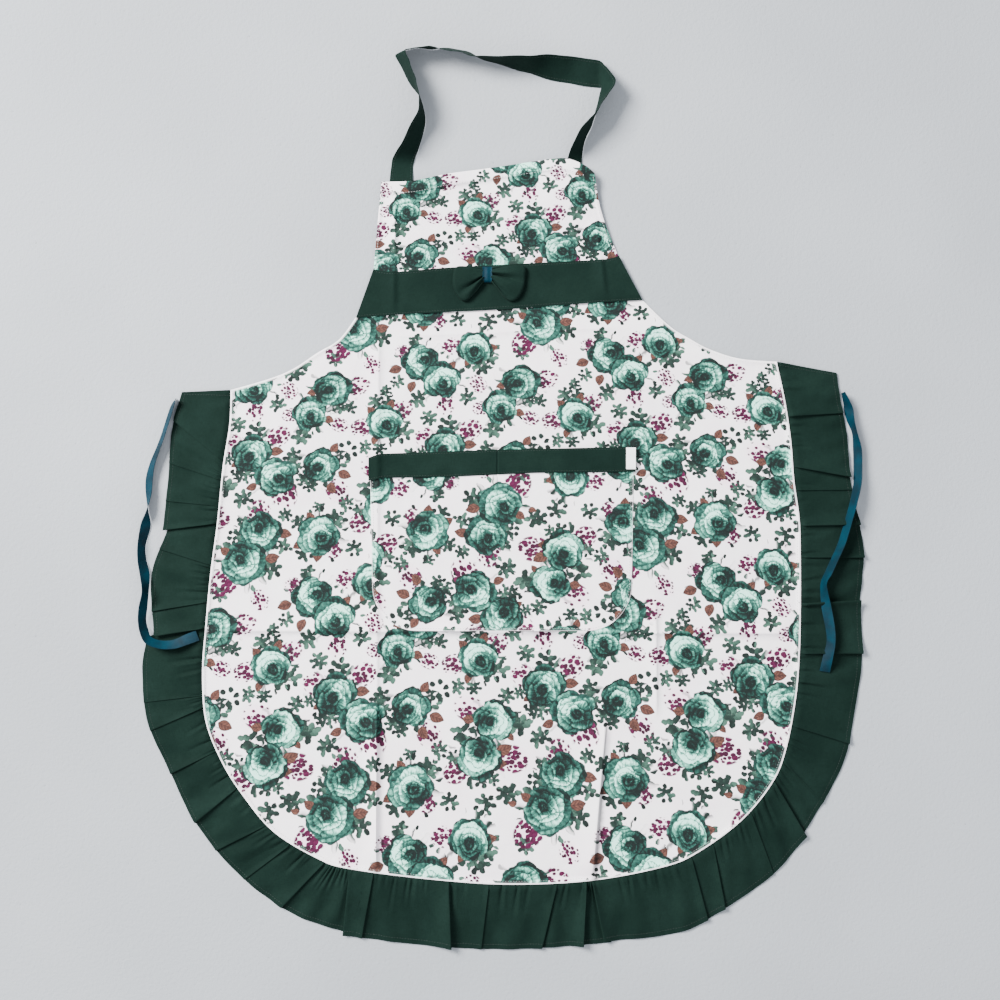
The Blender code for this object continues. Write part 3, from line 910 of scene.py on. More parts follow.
def pocket_sides():
    """The sewn edge: down the left side, along the bottom and up the right side."""
    left, right = POCKET_TOP_LEFT[0], POCKET_TOP_RIGHT[0]
    r = POCKET_CORNER
    line = np.vstack([
        [POCKET_TOP_LEFT],
        arc((left + r + 0.002, POCKET_BOTTOM + r), r, 180, 270),
        arc((right - r - 0.002, POCKET_BOTTOM + r), r, 270, 360),
        [POCKET_TOP_RIGHT],
    ])
    return resampled(line, EDGE_STEP)


def pocket_height(places, to_edge):
    height = CLOTH + relief(places) + POCKET_RISE
    slack = np.exp(-((places[:, 0] + 0.01)**2 / 0.075**2 + (places[:, 1] + 0.03)**2 / 0.055**2))
    height += 0.0016 * slack
    height += 0.0006 * fade(to_edge, 0.006, 0.016) - 0.0004 * (1 - fade(to_edge, 0.0, 0.0012))
    gape = (0.5 + 0.5 * np.sin(places[:, 0] * 75 - 1.2))**2 * fade(places[:, 0], -0.10, -0.05)
    low = np.exp(-((places[:, 1] - POCKET_BOTTOM) / 0.012)**2)
    return height + 0.0030 * gape * (1 - fade(places[:, 0], 0.075, 0.10)) * low


def pocket_panel(face, back):
    edge = pocket_sides()
    top = resampled([POCKET_TOP_RIGHT, POCKET_TOP_LEFT], EDGE_STEP)
    outline = np.vstack([edge[:-1], top[:-1]])
    rows = [beside(edge, d)[1:-1] for d in (0.0010, 0.0020, 0.0030)]
    places, faces = filled(outline, FINE, rows + crease_lines())
    to_edge = distance_to(places, fine(edge))
    panel = sheet("pocket_cloth", with_height(places, pocket_height(places, to_edge)), faces,
                  CLOTH, pocket_cloth(places))
    hem_and_shade_mark(panel, 0.55 * (1 - fade(to_edge, 0.0004, 0.0010)))
    dress(panel, face, back)
    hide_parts("pocket_panel")
    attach(panel, "body")
    return panel


# ---- Green strips ----

BAND_RISE = 0.0009


def band_height(places, to_edge):
    height = CLOTH + relief(places) * 0.75 + BAND_RISE + 0.0003
    return height + 0.0004 * fade(to_edge, 0.0, 0.004)


def chest_band(green):
    lower = resampled(np.array(BAND_SEAM), 0.002)
    wave = 0.0005 * np.sin(np.linspace(0, 9, len(lower)))
    lower[:, 1] += wave - 0.0008
    upper = even(BAND_TOP, 0.002)
    upper[:, 1] += 0.0008
    rows, columns = 22, 130
    places = strip(lower, upper, columns, rows).reshape(-1, 2)
    height = band_height(places, distance_to(places, fine(lower, upper)))
    band = sheet("chest_band_cloth", with_height(places, height), grid_faces(rows, columns),
                 GREEN_CLOTH)
    dress(band, green)
    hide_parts("chest_band")
    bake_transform(band)
    return band


POCKET_BAND_TOP = ((-0.1286, 0.0389), (-0.1181, 0.0427), (-0.0048, 0.0466), (0.1267, 0.0494))
POCKET_BAND_BOTTOM = (
    (-0.1286, 0.0168), (-0.1152, 0.0197), (-0.0528, 0.0206), (0.0307, 0.0245), (0.1267, 0.0254),
)
LABEL = ((0.1176, 0.0280), (0.1267, 0.0280), (0.1268, 0.0484), (0.1176, 0.0484))
JOIN_X = -0.0053           # the pocket band is pieced here


def pocket_band_height(places):
    to_edge = distance_to(places, fine(POCKET_BAND_TOP, POCKET_BAND_BOTTOM))
    height = CLOTH + relief(places) + POCKET_RISE + 0.0022
    height += 0.0004 * fade(to_edge, 0.0, 0.003)
    return height - 0.0007 * np.exp(-((places[:, 0] - JOIN_X) / 0.0007)**2)


def pocket_band(green):
    columns = np.unique(np.concatenate([
        np.linspace(0, 1, 110), 0.4820 + np.linspace(-0.010, 0.010, 17),
    ]))
    rows = 12
    lower, upper = [
        np.stack([np.interp(columns, np.linspace(0, 1, len(edge)), edge[:, k]) for k in (0, 1)], 1)
        for edge in (resampled(POCKET_BAND_BOTTOM, 0.001), resampled(POCKET_BAND_TOP, 0.001))]
    places = between(lower, upper, rows).reshape(-1, 2)
    band = sheet("pocket_band_cloth", with_height(places, pocket_band_height(places)),
                 grid_faces(rows, len(columns)), GREEN_CLOTH)
    dress(band, green)
    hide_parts("pocket_band")
    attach(band, "body")
    return band


def pocket_label(tape):
    """A short tape tab, its upper end turned under."""
    (x0, y0), (x1, _), _, (_, y1) = LABEL
    rows = [(y0 + (y1 - y0) * i / 14, 0.0006 + 0.00025 * math.sin(i * 0.7)) for i in range(14)]
    rows += [(y1, 0.0006), (y1 + 0.0002, 0.0003), (y1, 0.00005), (y1 - 0.0008, -0.00005),
             (y1 - 0.0020, -0.00005)]
    columns = np.linspace(x0, x1, 11)
    points = []
    for y, lift in rows:
        below = np.stack([columns, np.full(11, min(y, y1) - 0.001)], axis=1)
        flat = np.stack([columns, np.full(11, y)], axis=1)
        points.append(with_height(flat, pocket_band_height(below) + 0.0004 + lift))
    label = sheet("label_tape_tab", np.vstack(points), grid_faces(len(rows), 11), 0.0003,
                  upright=False)
    dress(label, tape)
    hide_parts("pocket_label")
    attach(label, "body")


# ---- The frill ----

PLAIN_COLUMN = 0.0011
FRILL_ROWS = 24
RUN_UNDER = 0.008          # how far a length runs on under its neighbour
OVER_DEPTH = 0.004         # depth of the fold in which a length ends over its neighbour
FRILL_STEP = 0.0005        # spacing of points along the seam and the hem
FRILL_INSIDE = 0.0016      # how far the frill starts under the body's edge

# Each length: first seam point, its hem points, how it starts and ends ("over" with the height of
# the fold, "under" or "free"), and its pleats: seam end, hem end, heights there, depth, and which
# way the fold looks, 1 towards the length's end.
FRILLS = {
    "frill_left_upper": (0, (
        (-0.3080, 0.1020), (-0.3175, 0.0660), (-0.3210, 0.0220), (-0.3260, -0.0305),
    ), ("free", 0), ("over", 0.0030), (
        ((-0.2655, 0.0350), (-0.3165, 0.0745), 0.0004, 0.0034, 0.0045, 1),
        ((-0.2680, 0.0170), (-0.3190, 0.0335), 0.0008, 0.0010, 0.0014, 1),
        ((-0.2745, -0.0075), (-0.3230, -0.0025), 0.0005, 0.0008, 0.0012, 1),
    )),
    "frill_left_lower": (3, (
        (-0.3226, -0.0320), (-0.3375, -0.0760), (-0.3340, -0.1320),
    ), ("under", 0), ("over", 0.0055), (
        ((-0.2790, -0.0640), (-0.3290, -0.0490), 0.0016, 0.0014, 0.0022, 1),
        ((-0.2840, -0.0990), (-0.3372, -0.1080), 0.0012, 0.0022, 0.0028, 1),
    )),
    "frill_lower_left": (5, (
        (-0.3430, -0.1405), (-0.3460, -0.1665), (-0.3410, -0.2140), (-0.3190, -0.2630),
        (-0.2950, -0.3110), (-0.2525, -0.3615), (-0.2025, -0.3980), (-0.1545, -0.4150),
    ), ("under", 0), ("under", 0), (
        ((-0.2870, -0.1890), (-0.3450, -0.1960), 0.0012, 0.0006, 0.0014, 1),
        ((-0.2860, -0.2000), (-0.3385, -0.2230), 0.0022, 0.0010, 0.0022, 1),
        ((-0.2735, -0.2415), (-0.3190, -0.2640), 0.0014, 0.0020, 0.0024, 1),
        ((-0.2540, -0.2770), (-0.2950, -0.3110), 0.0018, 0.0030, 0.0040, 1),
        ((-0.2265, -0.3130), (-0.2740, -0.3370), 0.0018, 0.0022, 0.0028, 1),
        ((-0.2040, -0.3320), (-0.2480, -0.3660), 0.0018, 0.0012, 0.0018, 1),
        ((-0.1700, -0.3470), (-0.2120, -0.3920), 0.0018, 0.0026, 0.0032, 1),
    )),
    "frill_bottom": (12, (
        (-0.1536, -0.4190), (-0.0605, -0.4300), (0.0170, -0.4320), (0.0960, -0.4265),
    ), ("over", 0.0024), ("under", 0), (
        ((-0.1236, -0.3585), (-0.1357, -0.4240), 0.0016, 0.0026, 0.0026, 1),
        ((-0.0519, -0.3668), (-0.0490, -0.4300), 0.0018, 0.0074, 0.0046, 1),
        ((-0.0135, -0.3690), (-0.0206, -0.4310), 0.0014, 0.0016, 0.0018, 1),
        ((0.0521, -0.3690), (0.0370, -0.4310), 0.0016, 0.0034, 0.0046, 1),
        ((0.0802, -0.3672), (0.0773, -0.4282), 0.0034, 0.0072, 0.0040, 1),
    )),
    "frill_lower_right": (15, (
        (0.0970, -0.4250), (0.1700, -0.4160), (0.2130, -0.3930), (0.2580, -0.3615),
        (0.2910, -0.3240),
    ), ("over", 0.0040), ("over", 0.0030), (
        ((0.1805, -0.3430), (0.1959, -0.4030), 0.0016, 0.0028, 0.0030, 1),
        ((0.2028, -0.3320), (0.2131, -0.3930), 0.0016, 0.0034, 0.0044, 1),
        ((0.2380, -0.3005), (0.2600, -0.3600), 0.0022, 0.0008, 0.0020, 1),
    )),
    "frill_right_lower": (19, (
        (0.2900, -0.3190), (0.3255, -0.2560), (0.3390, -0.1935), (0.3445, -0.1500),
        (0.3425, -0.0975),
    ), ("under", 0), ("over", 0.0065), (
        ((0.2663, -0.2510), (0.3080, -0.2930), 0.0022, 0.0006, 0.0018, -1),
        ((0.2790, -0.2180), (0.3320, -0.2350), 0.0020, 0.0030, 0.0036, -1),
        ((0.2837, -0.1483), (0.3445, -0.1483), 0.0018, 0.0056, 0.0040, -1),
    )),
    "frill_right_upper": (23, (
        (0.3425, -0.0965), (0.3460, -0.0515), (0.3410, -0.0205), (0.3330, 0.0195),
        (0.3300, 0.0600), (0.3235, 0.0945), (0.3200, 0.1205),
    ), ("under", 0), ("free", 0), (
        ((0.2850, -0.0565), (0.3458, -0.0565), 0.0014, 0.0040, 0.0034, -1),
        ((0.2845, -0.0262), (0.3415, -0.0252), 0.0020, 0.0056, 0.0044, -1),
        ((0.2785, 0.0072), (0.3352, 0.0082), 0.0016, 0.0012, 0.0018, -1),
        ((0.2775, 0.0304), (0.3330, 0.0203), 0.0018, 0.0064, 0.0046, -1),
        ((0.2725, 0.0779), (0.3270, 0.0821), 0.0018, 0.0032, 0.0042, -1),
    )),
}
# The section of a pleat: place along in shares of its depth, and height in shares of its rise.
PLEAT_SECTION = (
    (-4.2, 0.00), (-3.4, 0.05), (-2.7, 0.16), (-2.0, 0.34), (-1.4, 0.54), (-0.9, 0.74),
    (-0.5, 0.90), (-0.22, 0.98), (-0.04, 0.98), (0.06, 0.88), (0.05, 0.72), (-0.10, 0.60),
    (-0.40, 0.52), (-0.75, 0.42), (-0.98, 0.30), (-1.02, 0.16), (-0.85, 0.05), (-0.50, 0.00),
    (-0.10, 0.00), (0.30, 0.00), (0.80, 0.00),
)
OVER_SECTION = PLEAT_SECTION[:15]   # its part above the neighbour


def nearest_place(line, point):
    """The share of a finely sampled line's points at which it passes closest to a point."""
    gap = np.linalg.norm(line - np.asarray(point), axis=1)
    return gap.argmin() / (len(line) - 1)


def line_at(line, share):
    """Points at shares of a finely sampled line; beyond its ends it runs straight on."""
    at = np.asarray(share, float) * (len(line) - 1)
    inner = np.clip(at, 0, len(line) - 1)
    found = np.stack([np.interp(inner, np.arange(len(line)), line[:, k]) for k in (0, 1)], axis=-1)
    first = (line[0] - line[6]) / 6
    last = (line[-1] - line[-7]) / 6
    found = found + np.maximum(-at, 0)[..., None] * first
    return found + np.maximum(at - (len(line) - 1), 0)[..., None] * last


def fold_over(middle, side, rise):
    """The fold in which a length ends over its neighbour."""
    return [(middle + side * a * OVER_DEPTH, middle + side * a * OVER_DEPTH * 0.5,
             rise * h, rise * h * 0.45) for a, h in OVER_SECTION][::side]


def frill_columns(long, pleats, start, end):
    """The columns as (place at the hem, place at the seam, height at the hem, at the seam)."""
    folds = []
    for place, _, low, high, depth, side in pleats:
        shallow = depth * 0.45
        folds.append([(place + side * a * depth, place + side * a * shallow, high * h, low * h)
                      for a, h in PLEAT_SECTION][::side])
    low_end, high_end = 0.0, long
    if start[0] == "over":
        folds.append(fold_over(0.0, -1, start[1]))
        low_end = folds[-1][-1][0]
    elif start[0] == "under":
        low_end = -RUN_UNDER
    if end[0] == "over":
        folds.append(fold_over(long, 1, end[1]))
        high_end = folds[-1][0][0]
    elif end[0] == "under":
        high_end = long + RUN_UNDER
    folds.sort(key=lambda fold: min(fold[0][0], fold[-1][0]))
    line = []
    at = low_end
    for fold in folds:
        begin = fold[0][0]
        if begin > at + PLAIN_COLUMN:
            line += [(place, place, 0.0, 0.0)
                     for place in np.arange(at, begin - PLAIN_COLUMN * 0.5, PLAIN_COLUMN)]
        line += fold
        at = fold[-1][0] + PLAIN_COLUMN
    if at < high_end:
        count = max(int((high_end - at) / PLAIN_COLUMN), 2)
        line += [(place, place, 0.0, 0.0) for place in np.linspace(at, high_end, count)]
    return np.array(line)


def frill_length(name, number, green):
    first, hem_points, start, end, pleats = FRILLS[name]
    seam = even(FRILL_SEAM[first:first + len(hem_points)], FRILL_STEP, 24)
    hem = even(hem_points, FRILL_STEP, 24)
    long = (len(hem) - 1) * FRILL_STEP
    draw = np.random.default_rng(100 + number)
    # Pleats as (hem place, seam place, heights, depth, side), hem places in metres
    rows = [(nearest_place(hem, p[1]) * long, nearest_place(seam, p[0]), *p[2:]) for p in pleats]
    hem_marks, seam_marks = zip(*sorted([(0.0, 0.0), (long, 1.0)] + [row[:2] for row in rows]))
    line = frill_columns(long, rows, start, end)
    t = (np.linspace(0, 1, FRILL_ROWS)**1.15)[:, None]
    along = line[None, :, 1] * (1 - t) + line[None, :, 0] * t
    rise = line[None, :, 3] * (1 - t**0.7) + line[None, :, 2] * t**0.7
    seam_share = np.interp(along, hem_marks, seam_marks)
    over = np.where(along < 0, along / long, np.where(along > long, (along - long) / long, 0))
    at_seam = line_at(seam, seam_share + over)
    at_hem = line_at(hem, along / long)
    way = at_hem - at_seam
    way /= np.linalg.norm(way, axis=-1, keepdims=True)
    at_seam = at_seam - way * FRILL_INSIDE
    flat = at_seam * (1 - t[..., None]) + at_hem * t[..., None]
    # Soft waves across the strip, and short puckers under the seam
    base = np.zeros(along.shape)
    for _ in range(7):
        span = draw.uniform(0.018, 0.060)
        phase = draw.uniform(0, 2 * math.pi)
        slant = draw.uniform(-0.5, 0.5)
        base += np.sin((along + slant * t * 0.05) * 2 * math.pi / span + phase)
    base = 0.00120 * (base / 2.6 + 1).clip(0) * (0.35 + 0.65 * fade(t, 0.1, 0.9))
    base *= 1 - 0.45 * fade(t, 0.85, 1.0)
    pucker = np.zeros(along.shape)
    place = 0.003
    while place < long:
        length = draw.uniform(0.15, 0.60)
        deep = draw.uniform(0.0010, 0.0024) * (0.6 + length)
        wide = draw.uniform(0.0010, 0.0019)
        slant = draw.uniform(-0.006, 0.006)
        off = (along - place - slant * t) / (wide * (1 + 1.5 * t))
        fading = (1 - t / length).clip(0)**0.8
        pucker -= deep * np.exp(-off**2) * fading
        pucker += 0.55 * deep * np.exp(-(off - 2.0)**2) * fading
        place += draw.uniform(0.006, 0.015)
    under = np.zeros(along.shape)
    if start[0] == "under":
        under = np.maximum(under, 1 - fade(along, -0.001, 0.006))
    if end[0] == "under":
        under = np.maximum(under, fade(along, long - 0.006, long + 0.001))
    lie = relief(flat.reshape(-1, 2)).reshape(along.shape) * (1 - fade(t, 0.0, 0.8))
    seam_rise = 0.0006 * (1 - fade(t, 0.03, 0.25))
    swell = 0.0012 * np.sin(math.pi * t**0.6)
    height = GREEN_CLOTH + 0.0002 + (base + pucker + seam_rise + swell) * (1 - 0.8 * under)
    height = height + lie + rise
    first_rows = 1 - fade(t, 0.032, 0.085)
    cap = GREEN_CLOTH + lie + 0.0002
    height = height * (1 - first_rows) + np.minimum(height, cap) * first_rows
    height = np.maximum(height, GREEN_CLOTH)
    points = np.concatenate([flat, height[..., None]], axis=-1)
    made = sheet(name + "_cloth", points.reshape(-1, 3), grid_faces(*height.shape), GREEN_CLOTH)
    for vertex in made.data.vertices:
        vertex.co.z = max(vertex.co.z, 0.0)
    dress(made, green)
    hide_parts(name)
    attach(made, "body")
    return points


# ---- Tapes: the neck strap and the waist ties ----

# Neck strap from its left foot, in tenths of a millimetre: one long edge, its height, the other
# edge, its height
STRAP_EDGES = [[value / 10000 for value in row] for row in (
    (-1099, 2940, 9, -871, 2960, 9), (-1090, 3000, 9, -867, 3010, 9),
    (-1085, 3080, 10, -866, 3075, 9), (-1070, 3195, 16, -864, 3165, 4),
    (-1056, 3259, 36, -862, 3197, 6), (-1005, 3316, 120, -841, 3270, 6),
    (-957, 3365, 185, -808, 3357, 4), (-885, 3509, 215, -764, 3500, 4),
    (-803, 3643, 236, -744, 3634, 4), (-793, 3749, 242, -758, 3749, 4),
    (-795, 3845, 245, -793, 3845, 4), (-814, 3921, 244, -841, 3912, 4),
    (-825, 3969, 240, -877, 3960, 4), (-864, 4056, 236, -919, 4037, 4),
    (-885, 4142, 232, -970, 4133, 4), (-917, 4205, 226, -1018, 4218, 4),
    (-921, 4232, 224, -1030, 4250, 4), (-908, 4240, 224, -1005, 4268, 4),
    (-860, 4246, 230, -922, 4303, 4), (-768, 4252, 238, -816, 4325, 4),
    (-682, 4261, 243, -682, 4308, 4), (-595, 4241, 240, -595, 4317, 4),
    (-505, 4219, 234, -503, 4318, 4), (-396, 4208, 234, -403, 4301, 4),
    (-307, 4177, 232, -322, 4277, 4), (-221, 4169, 242, -221, 4219, 4),
    (-108, 4163, 246, -108, 4186, 4), (46, 4170, 246, 38, 4138, 4),
    (163, 4171, 240, 154, 4104, 4), (259, 4176, 228, 250, 4080, 4),
    (403, 4203, 186, 384, 4034, 4), (547, 4208, 142, 528, 4000, 4), (662, 4213, 98, 653, 3980, 4),
    (787, 4203, 72, 778, 3957, 4), (900, 4190, 62, 896, 3943, 4), (938, 4172, 70, 932, 3941, 14),
    (962, 4140, 84, 938, 3932, 16), (1008, 4060, 150, 936, 3915, 14),
    (1060, 3945, 205, 928, 3880, 4), (995, 3822, 222, 903, 3790, 4),
    (932, 3735, 238, 884, 3715, 4), (886, 3662, 246, 878, 3660, 4),
    (815, 3580, 240, 845, 3572, 4), (732, 3490, 225, 800, 3482, 4),
    (684, 3410, 190, 776, 3396, 4), (643, 3326, 120, 760, 3308, 4), (618, 3250, 46, 754, 3232, 4),
    (610, 3190, 12, 757, 3180, 9), (612, 3110, 9, 770, 3100, 9),
)]
TAPE_THICKNESS = 0.0005


def tape(name, edges, steps, cells, thickness, crease=0.0):
    """A closed strip between two edges in space. Edges are rows of (x, y, z, x, y, z)."""
    rows = np.array(smooth(edges, steps))
    share = np.linspace(0, 1, cells + 1)
    grid = rows[:, None, :3] * (1 - share[None, :, None]) + rows[:, None, 3:] * share[None, :, None]
    if crease:
        spine = grid[:, cells // 2]
        steps = np.linalg.norm(np.diff(spine, axis=0), axis=1)
        along = np.concatenate([[0], np.cumsum(steps)])
        across = np.sin(along[:, None] * 2 * math.pi / 0.031 + share[None, :] * 3.0)
        run = np.gradient(spine, axis=0)
        wide = grid[:, -1] - grid[:, 0]
        normal = np.cross(run, wide)
        normal /= np.linalg.norm(normal, axis=1, keepdims=True)
        ends = (np.minimum(along, along[-1] - along) / 0.03).clip(0, 1)
        grid = grid + normal[:, None, :] * (crease * across * ends[:, None])[..., None]
    points = grid.reshape(-1, 3)
    made = sheet(name, points, grid_faces(len(rows), cells + 1), thickness, upright=False)
    return made, grid


def tie_edges(rows, width):
    """Rows of both edges from (x, y, lower edge's height, lean in degrees)."""
    places = np.array([row[:2] for row in rows])
    run = np.gradient(places, axis=0)
    run /= np.linalg.norm(run, axis=1, keepdims=True)
    edges = []
    for (x, y, low, lean), (dx, dy) in zip(rows, run):
        flat = width / 2 * math.cos(math.radians(lean))
        tall = width / 2 * math.sin(math.radians(lean))
        middle = max(low, 0) + abs(tall) + 0.0005
        side = np.array([-dy, dx]) * flat
        edges.append((x + side[0], y + side[1], middle + tall,
                      x - side[0], y - side[1], middle - tall))
    return edges


TIE_WIDTH = 0.010
OVER = 0.0052              # height at which a tie lies on the frill
TIE_LEFT = (
    (-0.3130, 0.0955, 0, 80), (-0.3170, 0.0869, 0, 60), (-0.3250, 0.0619, 0, 58),
    (-0.3295, 0.0494, 0, 56), (-0.3360, 0.0322, 0, 48), (-0.3389, 0.0178, 0, 36),
    (-0.3394, 0.0034, 0, 48), (-0.3404, -0.0130, 0, 90), (-0.3422, -0.0254, 0, 144),
    (-0.3459, -0.0446, 0, 125), (-0.3456, -0.0590, 0, 130), (-0.3425, -0.0734, 0.002, 140),
    (-0.3410, -0.0888, OVER, 115), (-0.3440, -0.1042, 0.0025, 129), (-0.3451, -0.1166, 0.0015, 125),
    (-0.3427, -0.1272, 0.003, 130), (-0.3379, -0.1354, OVER, 130), (-0.3266, -0.1395, OVER, 134),
    (-0.3139, -0.1392, OVER, 145), (-0.3024, -0.1349, OVER, 165), (-0.2920, -0.1310, OVER, 180),
)
TIE_RIGHT = (
    (0.3250, 0.1013, 0, 84), (0.3290, 0.0905, 0, 62), (0.3308, 0.0840, 0, 46),
    (0.3325, 0.0744, 0, 60), (0.3360, 0.0629, 0, 76), (0.3389, 0.0475, 0, 52),
    (0.3394, 0.0322, 0, 50), (0.3384, 0.0149, 0.0025, 55), (0.3345, -0.0014, OVER, 60),
    (0.3293, -0.0206, OVER, 60), (0.3226, -0.0427, OVER, 60), (0.3154, -0.0590, OVER, 62),
    (0.3101, -0.0706, OVER, 62), (0.3057, -0.0792, OVER, 70), (0.3056, -0.0878, OVER, 60),
    (0.3086, -0.1051, OVER, 36), (0.3120, -0.1243, OVER, 42), (0.3125, -0.1378, OVER, 48),
    (0.3101, -0.1502, OVER, 36), (0.3075, -0.1656, OVER, 0),
)


def waist_tie(name, node, body, rows, blue):
    made, grid = tape(name, tie_edges(rows, TIE_WIDTH), 6, 6, 0.0004)
    dress(made, blue)
    middle = (grid[:, 0] + grid[:, -1]) / 2
    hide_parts(node)
    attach(made, body)


def neck_strap(green):
    made, grid = tape("neck_strap_cloth", STRAP_EDGES, 6, 10, TAPE_THICKNESS, 0.0003)
    dress(made, green)
    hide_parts("neck_strap")
    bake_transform(made)
    return grid


# ---- The bow ----

BOW_BASE = 0.0030          # top side of the chest band under the bow


def bow_loop(name, outer, knot_line, green, folds):
    """A folded strip: a lower layer out to the fold, and a puffed, pleated one back to the knot."""
    outer_line = np.array(smooth(outer, 10))
    long = np.linalg.norm(np.diff(outer_line, axis=0), axis=1).sum()
    outer_line = resampled(outer_line, long / 40)
    knot_points = strip(knot_line, knot_line, len(outer_line), 2)[0]
    # The section: share of the way out from the knot, share of the height, layer
    section = [(share, 0.0, 0) for share in np.linspace(0.10, 0.93, 16)]
    section += [(0.970, 0.04, 0), (0.992, 0.16, 0), (1.0, 0.34, 1), (0.992, 0.54, 1),
                (0.970, 0.72, 1)]
    section += [(share, 0.80 + 0.20 * math.sin(math.pi * share), 1)
                for share in np.linspace(0.93, 0.02, 34)]
    v = np.linspace(0, 1, len(outer_line))
    rows = []
    for share, tall, layer in section:
        flat = knot_points * (1 - share) + outer_line * share
        puff = 0.0056 * (0.40 + 0.60 * np.sin(math.pi * v)**0.6)
        height = BOW_BASE + GREEN_CLOTH + tall * puff
        if layer and tall > 0.5:
            groove = sum(deep * np.exp(-((v - at) / (0.026 + 0.022 * share))**2)
                         for at, deep in folds)
            ridge = sum(0.45 * deep * np.exp(-((v - at - 0.08) / 0.04)**2) for at, deep in folds)
            height = height + (ridge - groove) * (1 - share**2.6)
            height = np.maximum(height, BOW_BASE + 2.4 * GREEN_CLOTH)
        rows.append(with_height(flat, height))
    loop = sheet(name, np.vstack(rows), grid_faces(len(section), len(outer_line)), GREEN_CLOTH,
                 upright=False)
    dress(loop, green)
    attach(loop, "bib")
    return loop


def bow(green, blue):
    left = bow_loop("bow_left", (
        (-0.0222, 0.2222), (-0.0340, 0.2219), (-0.0448, 0.2213), (-0.0482, 0.2120),
        (-0.0478, 0.2020), (-0.0436, 0.1935), (-0.0380, 0.1885), (-0.0330, 0.1905),
        (-0.0262, 0.1975), (-0.0205, 0.2052),
    ), ((-0.0190, 0.2215), (-0.0175, 0.2070)), green,
        ((0.20, 0.0008), (0.60, 0.0034), (0.80, 0.0012)))
    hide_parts("bow_loop_left")
    right = bow_loop("bow_right", (
        (-0.0080, 0.2052), (-0.0030, 0.1975), (0.0020, 0.1915), (0.0080, 0.1885),
        (0.0150, 0.1915), (0.0198, 0.2000), (0.0216, 0.2100), (0.0212, 0.2215),
        (0.0080, 0.2226), (-0.0078, 0.2226),
    ), ((-0.0125, 0.2070), (-0.0110, 0.2215)), green,
        ((0.26, 0.0024), (0.53, 0.0034), (0.82, 0.0008)))
    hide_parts("bow_loop_right")
    # The knot: ribbon wound over the middle
    wind = (
        (0.2177, 0.0030), (0.2202, 0.0032), (0.2213, 0.0044), (0.2207, 0.0062), (0.2177, 0.0074),
        (0.2138, 0.0078), (0.2099, 0.0076), (0.2078, 0.0068), (0.2069, 0.0052), (0.2077, 0.0036),
        (0.2099, 0.0032),
    )
    path = np.array(smooth(wind, 6))
    across = np.linspace(-1, 1, 11)
    half = 0.0047 - 0.0006 * fade(-path[:, 0], -0.2120, -0.2050)
    dip = 0.0005 * np.cos(across * 5.0) * 0.6
    xs = -0.0150 + half[:, None] * across[None, :]
    points = np.stack([
        xs, np.repeat(path[:, :1], 11, axis=1), path[:, 1:] + dip[None, :] * (path[:, 1:] > 0.006),
    ], axis=-1)
    knot = sheet("bow_knot_ribbon", points.reshape(-1, 3), grid_faces(len(path), 11), 0.0004,
                 upright=False)
    dress(knot, blue)
    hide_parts("bow_knot")
    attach(knot, "bib")


# ---- Stitches ----

STITCH_PITCH = 0.0026
STITCH_SHARE = 0.66        # how much of the pitch a stitch fills


def stitches(name, line, radius, material):
    """A row of thread stitches along a line of points in space, each dipping into the cloth."""
    line = resampled(line, STITCH_PITCH)
    vertices, faces = [], []
    sides = 5
    for a, b in zip(line[:-1], line[1:]):
        run = b - a
        long = np.linalg.norm(run)
        if long < STITCH_PITCH * 0.3:
            continue
        run = run / long
        side = np.cross(run, (0, 0, 1.0))
        side /= np.linalg.norm(side)
        up = np.cross(side, run)
        start = len(vertices)
        for place, thick, lift in ((0.0, 0.35, -0.9), (0.14, 0.9, 0.0), (0.5, 1.0, 0.35),
                                   (0.86, 0.9, 0.0), (1.0, 0.35, -0.9)):
            middle = a + run * long * (0.5 + (place - 0.5) * STITCH_SHARE) + up * lift * radius
            for k in range(sides):
                angle = 2 * math.pi * k / sides
                around = side * math.cos(angle) + up * math.sin(angle)
                vertices.append(middle + around * radius * thick)
        for ring in range(4):
            for k in range(sides):
                p, q = start + ring * sides + k, start + ring * sides + (k + 1) % sides
                faces.append((p, q, q + sides, p + sides))
        faces.append(tuple(start + k for k in range(sides))[::-1])
        faces.append(tuple(start + 4 * sides + k for k in range(sides)))
    mesh = bpy.data.meshes.new(name)
    mesh.from_pydata([tuple(v) for v in vertices], [], faces)
    mesh.shade_smooth()
    made = bpy.data.objects.new(name, mesh)
    bpy.context.scene.collection.objects.link(made)
    made.data.materials.append(material)
    return made


def laid_on(line, piece):
    """A flat line put on a piece's upper side, where the piece is below it."""
    mesh = piece.data
    tree = BVHTree.FromPolygons([v.co for v in mesh.vertices],
                                [tuple(f.vertices) for f in mesh.polygons])
    found = []
    for x, y in resampled(line, 0.0012):
        hit = tree.ray_cast(Vector((x, y, 0.06)), Vector((0, 0, -1)))[0]
        if hit is not None:
            found.append((x, y, hit.z))
    return np.array(found)


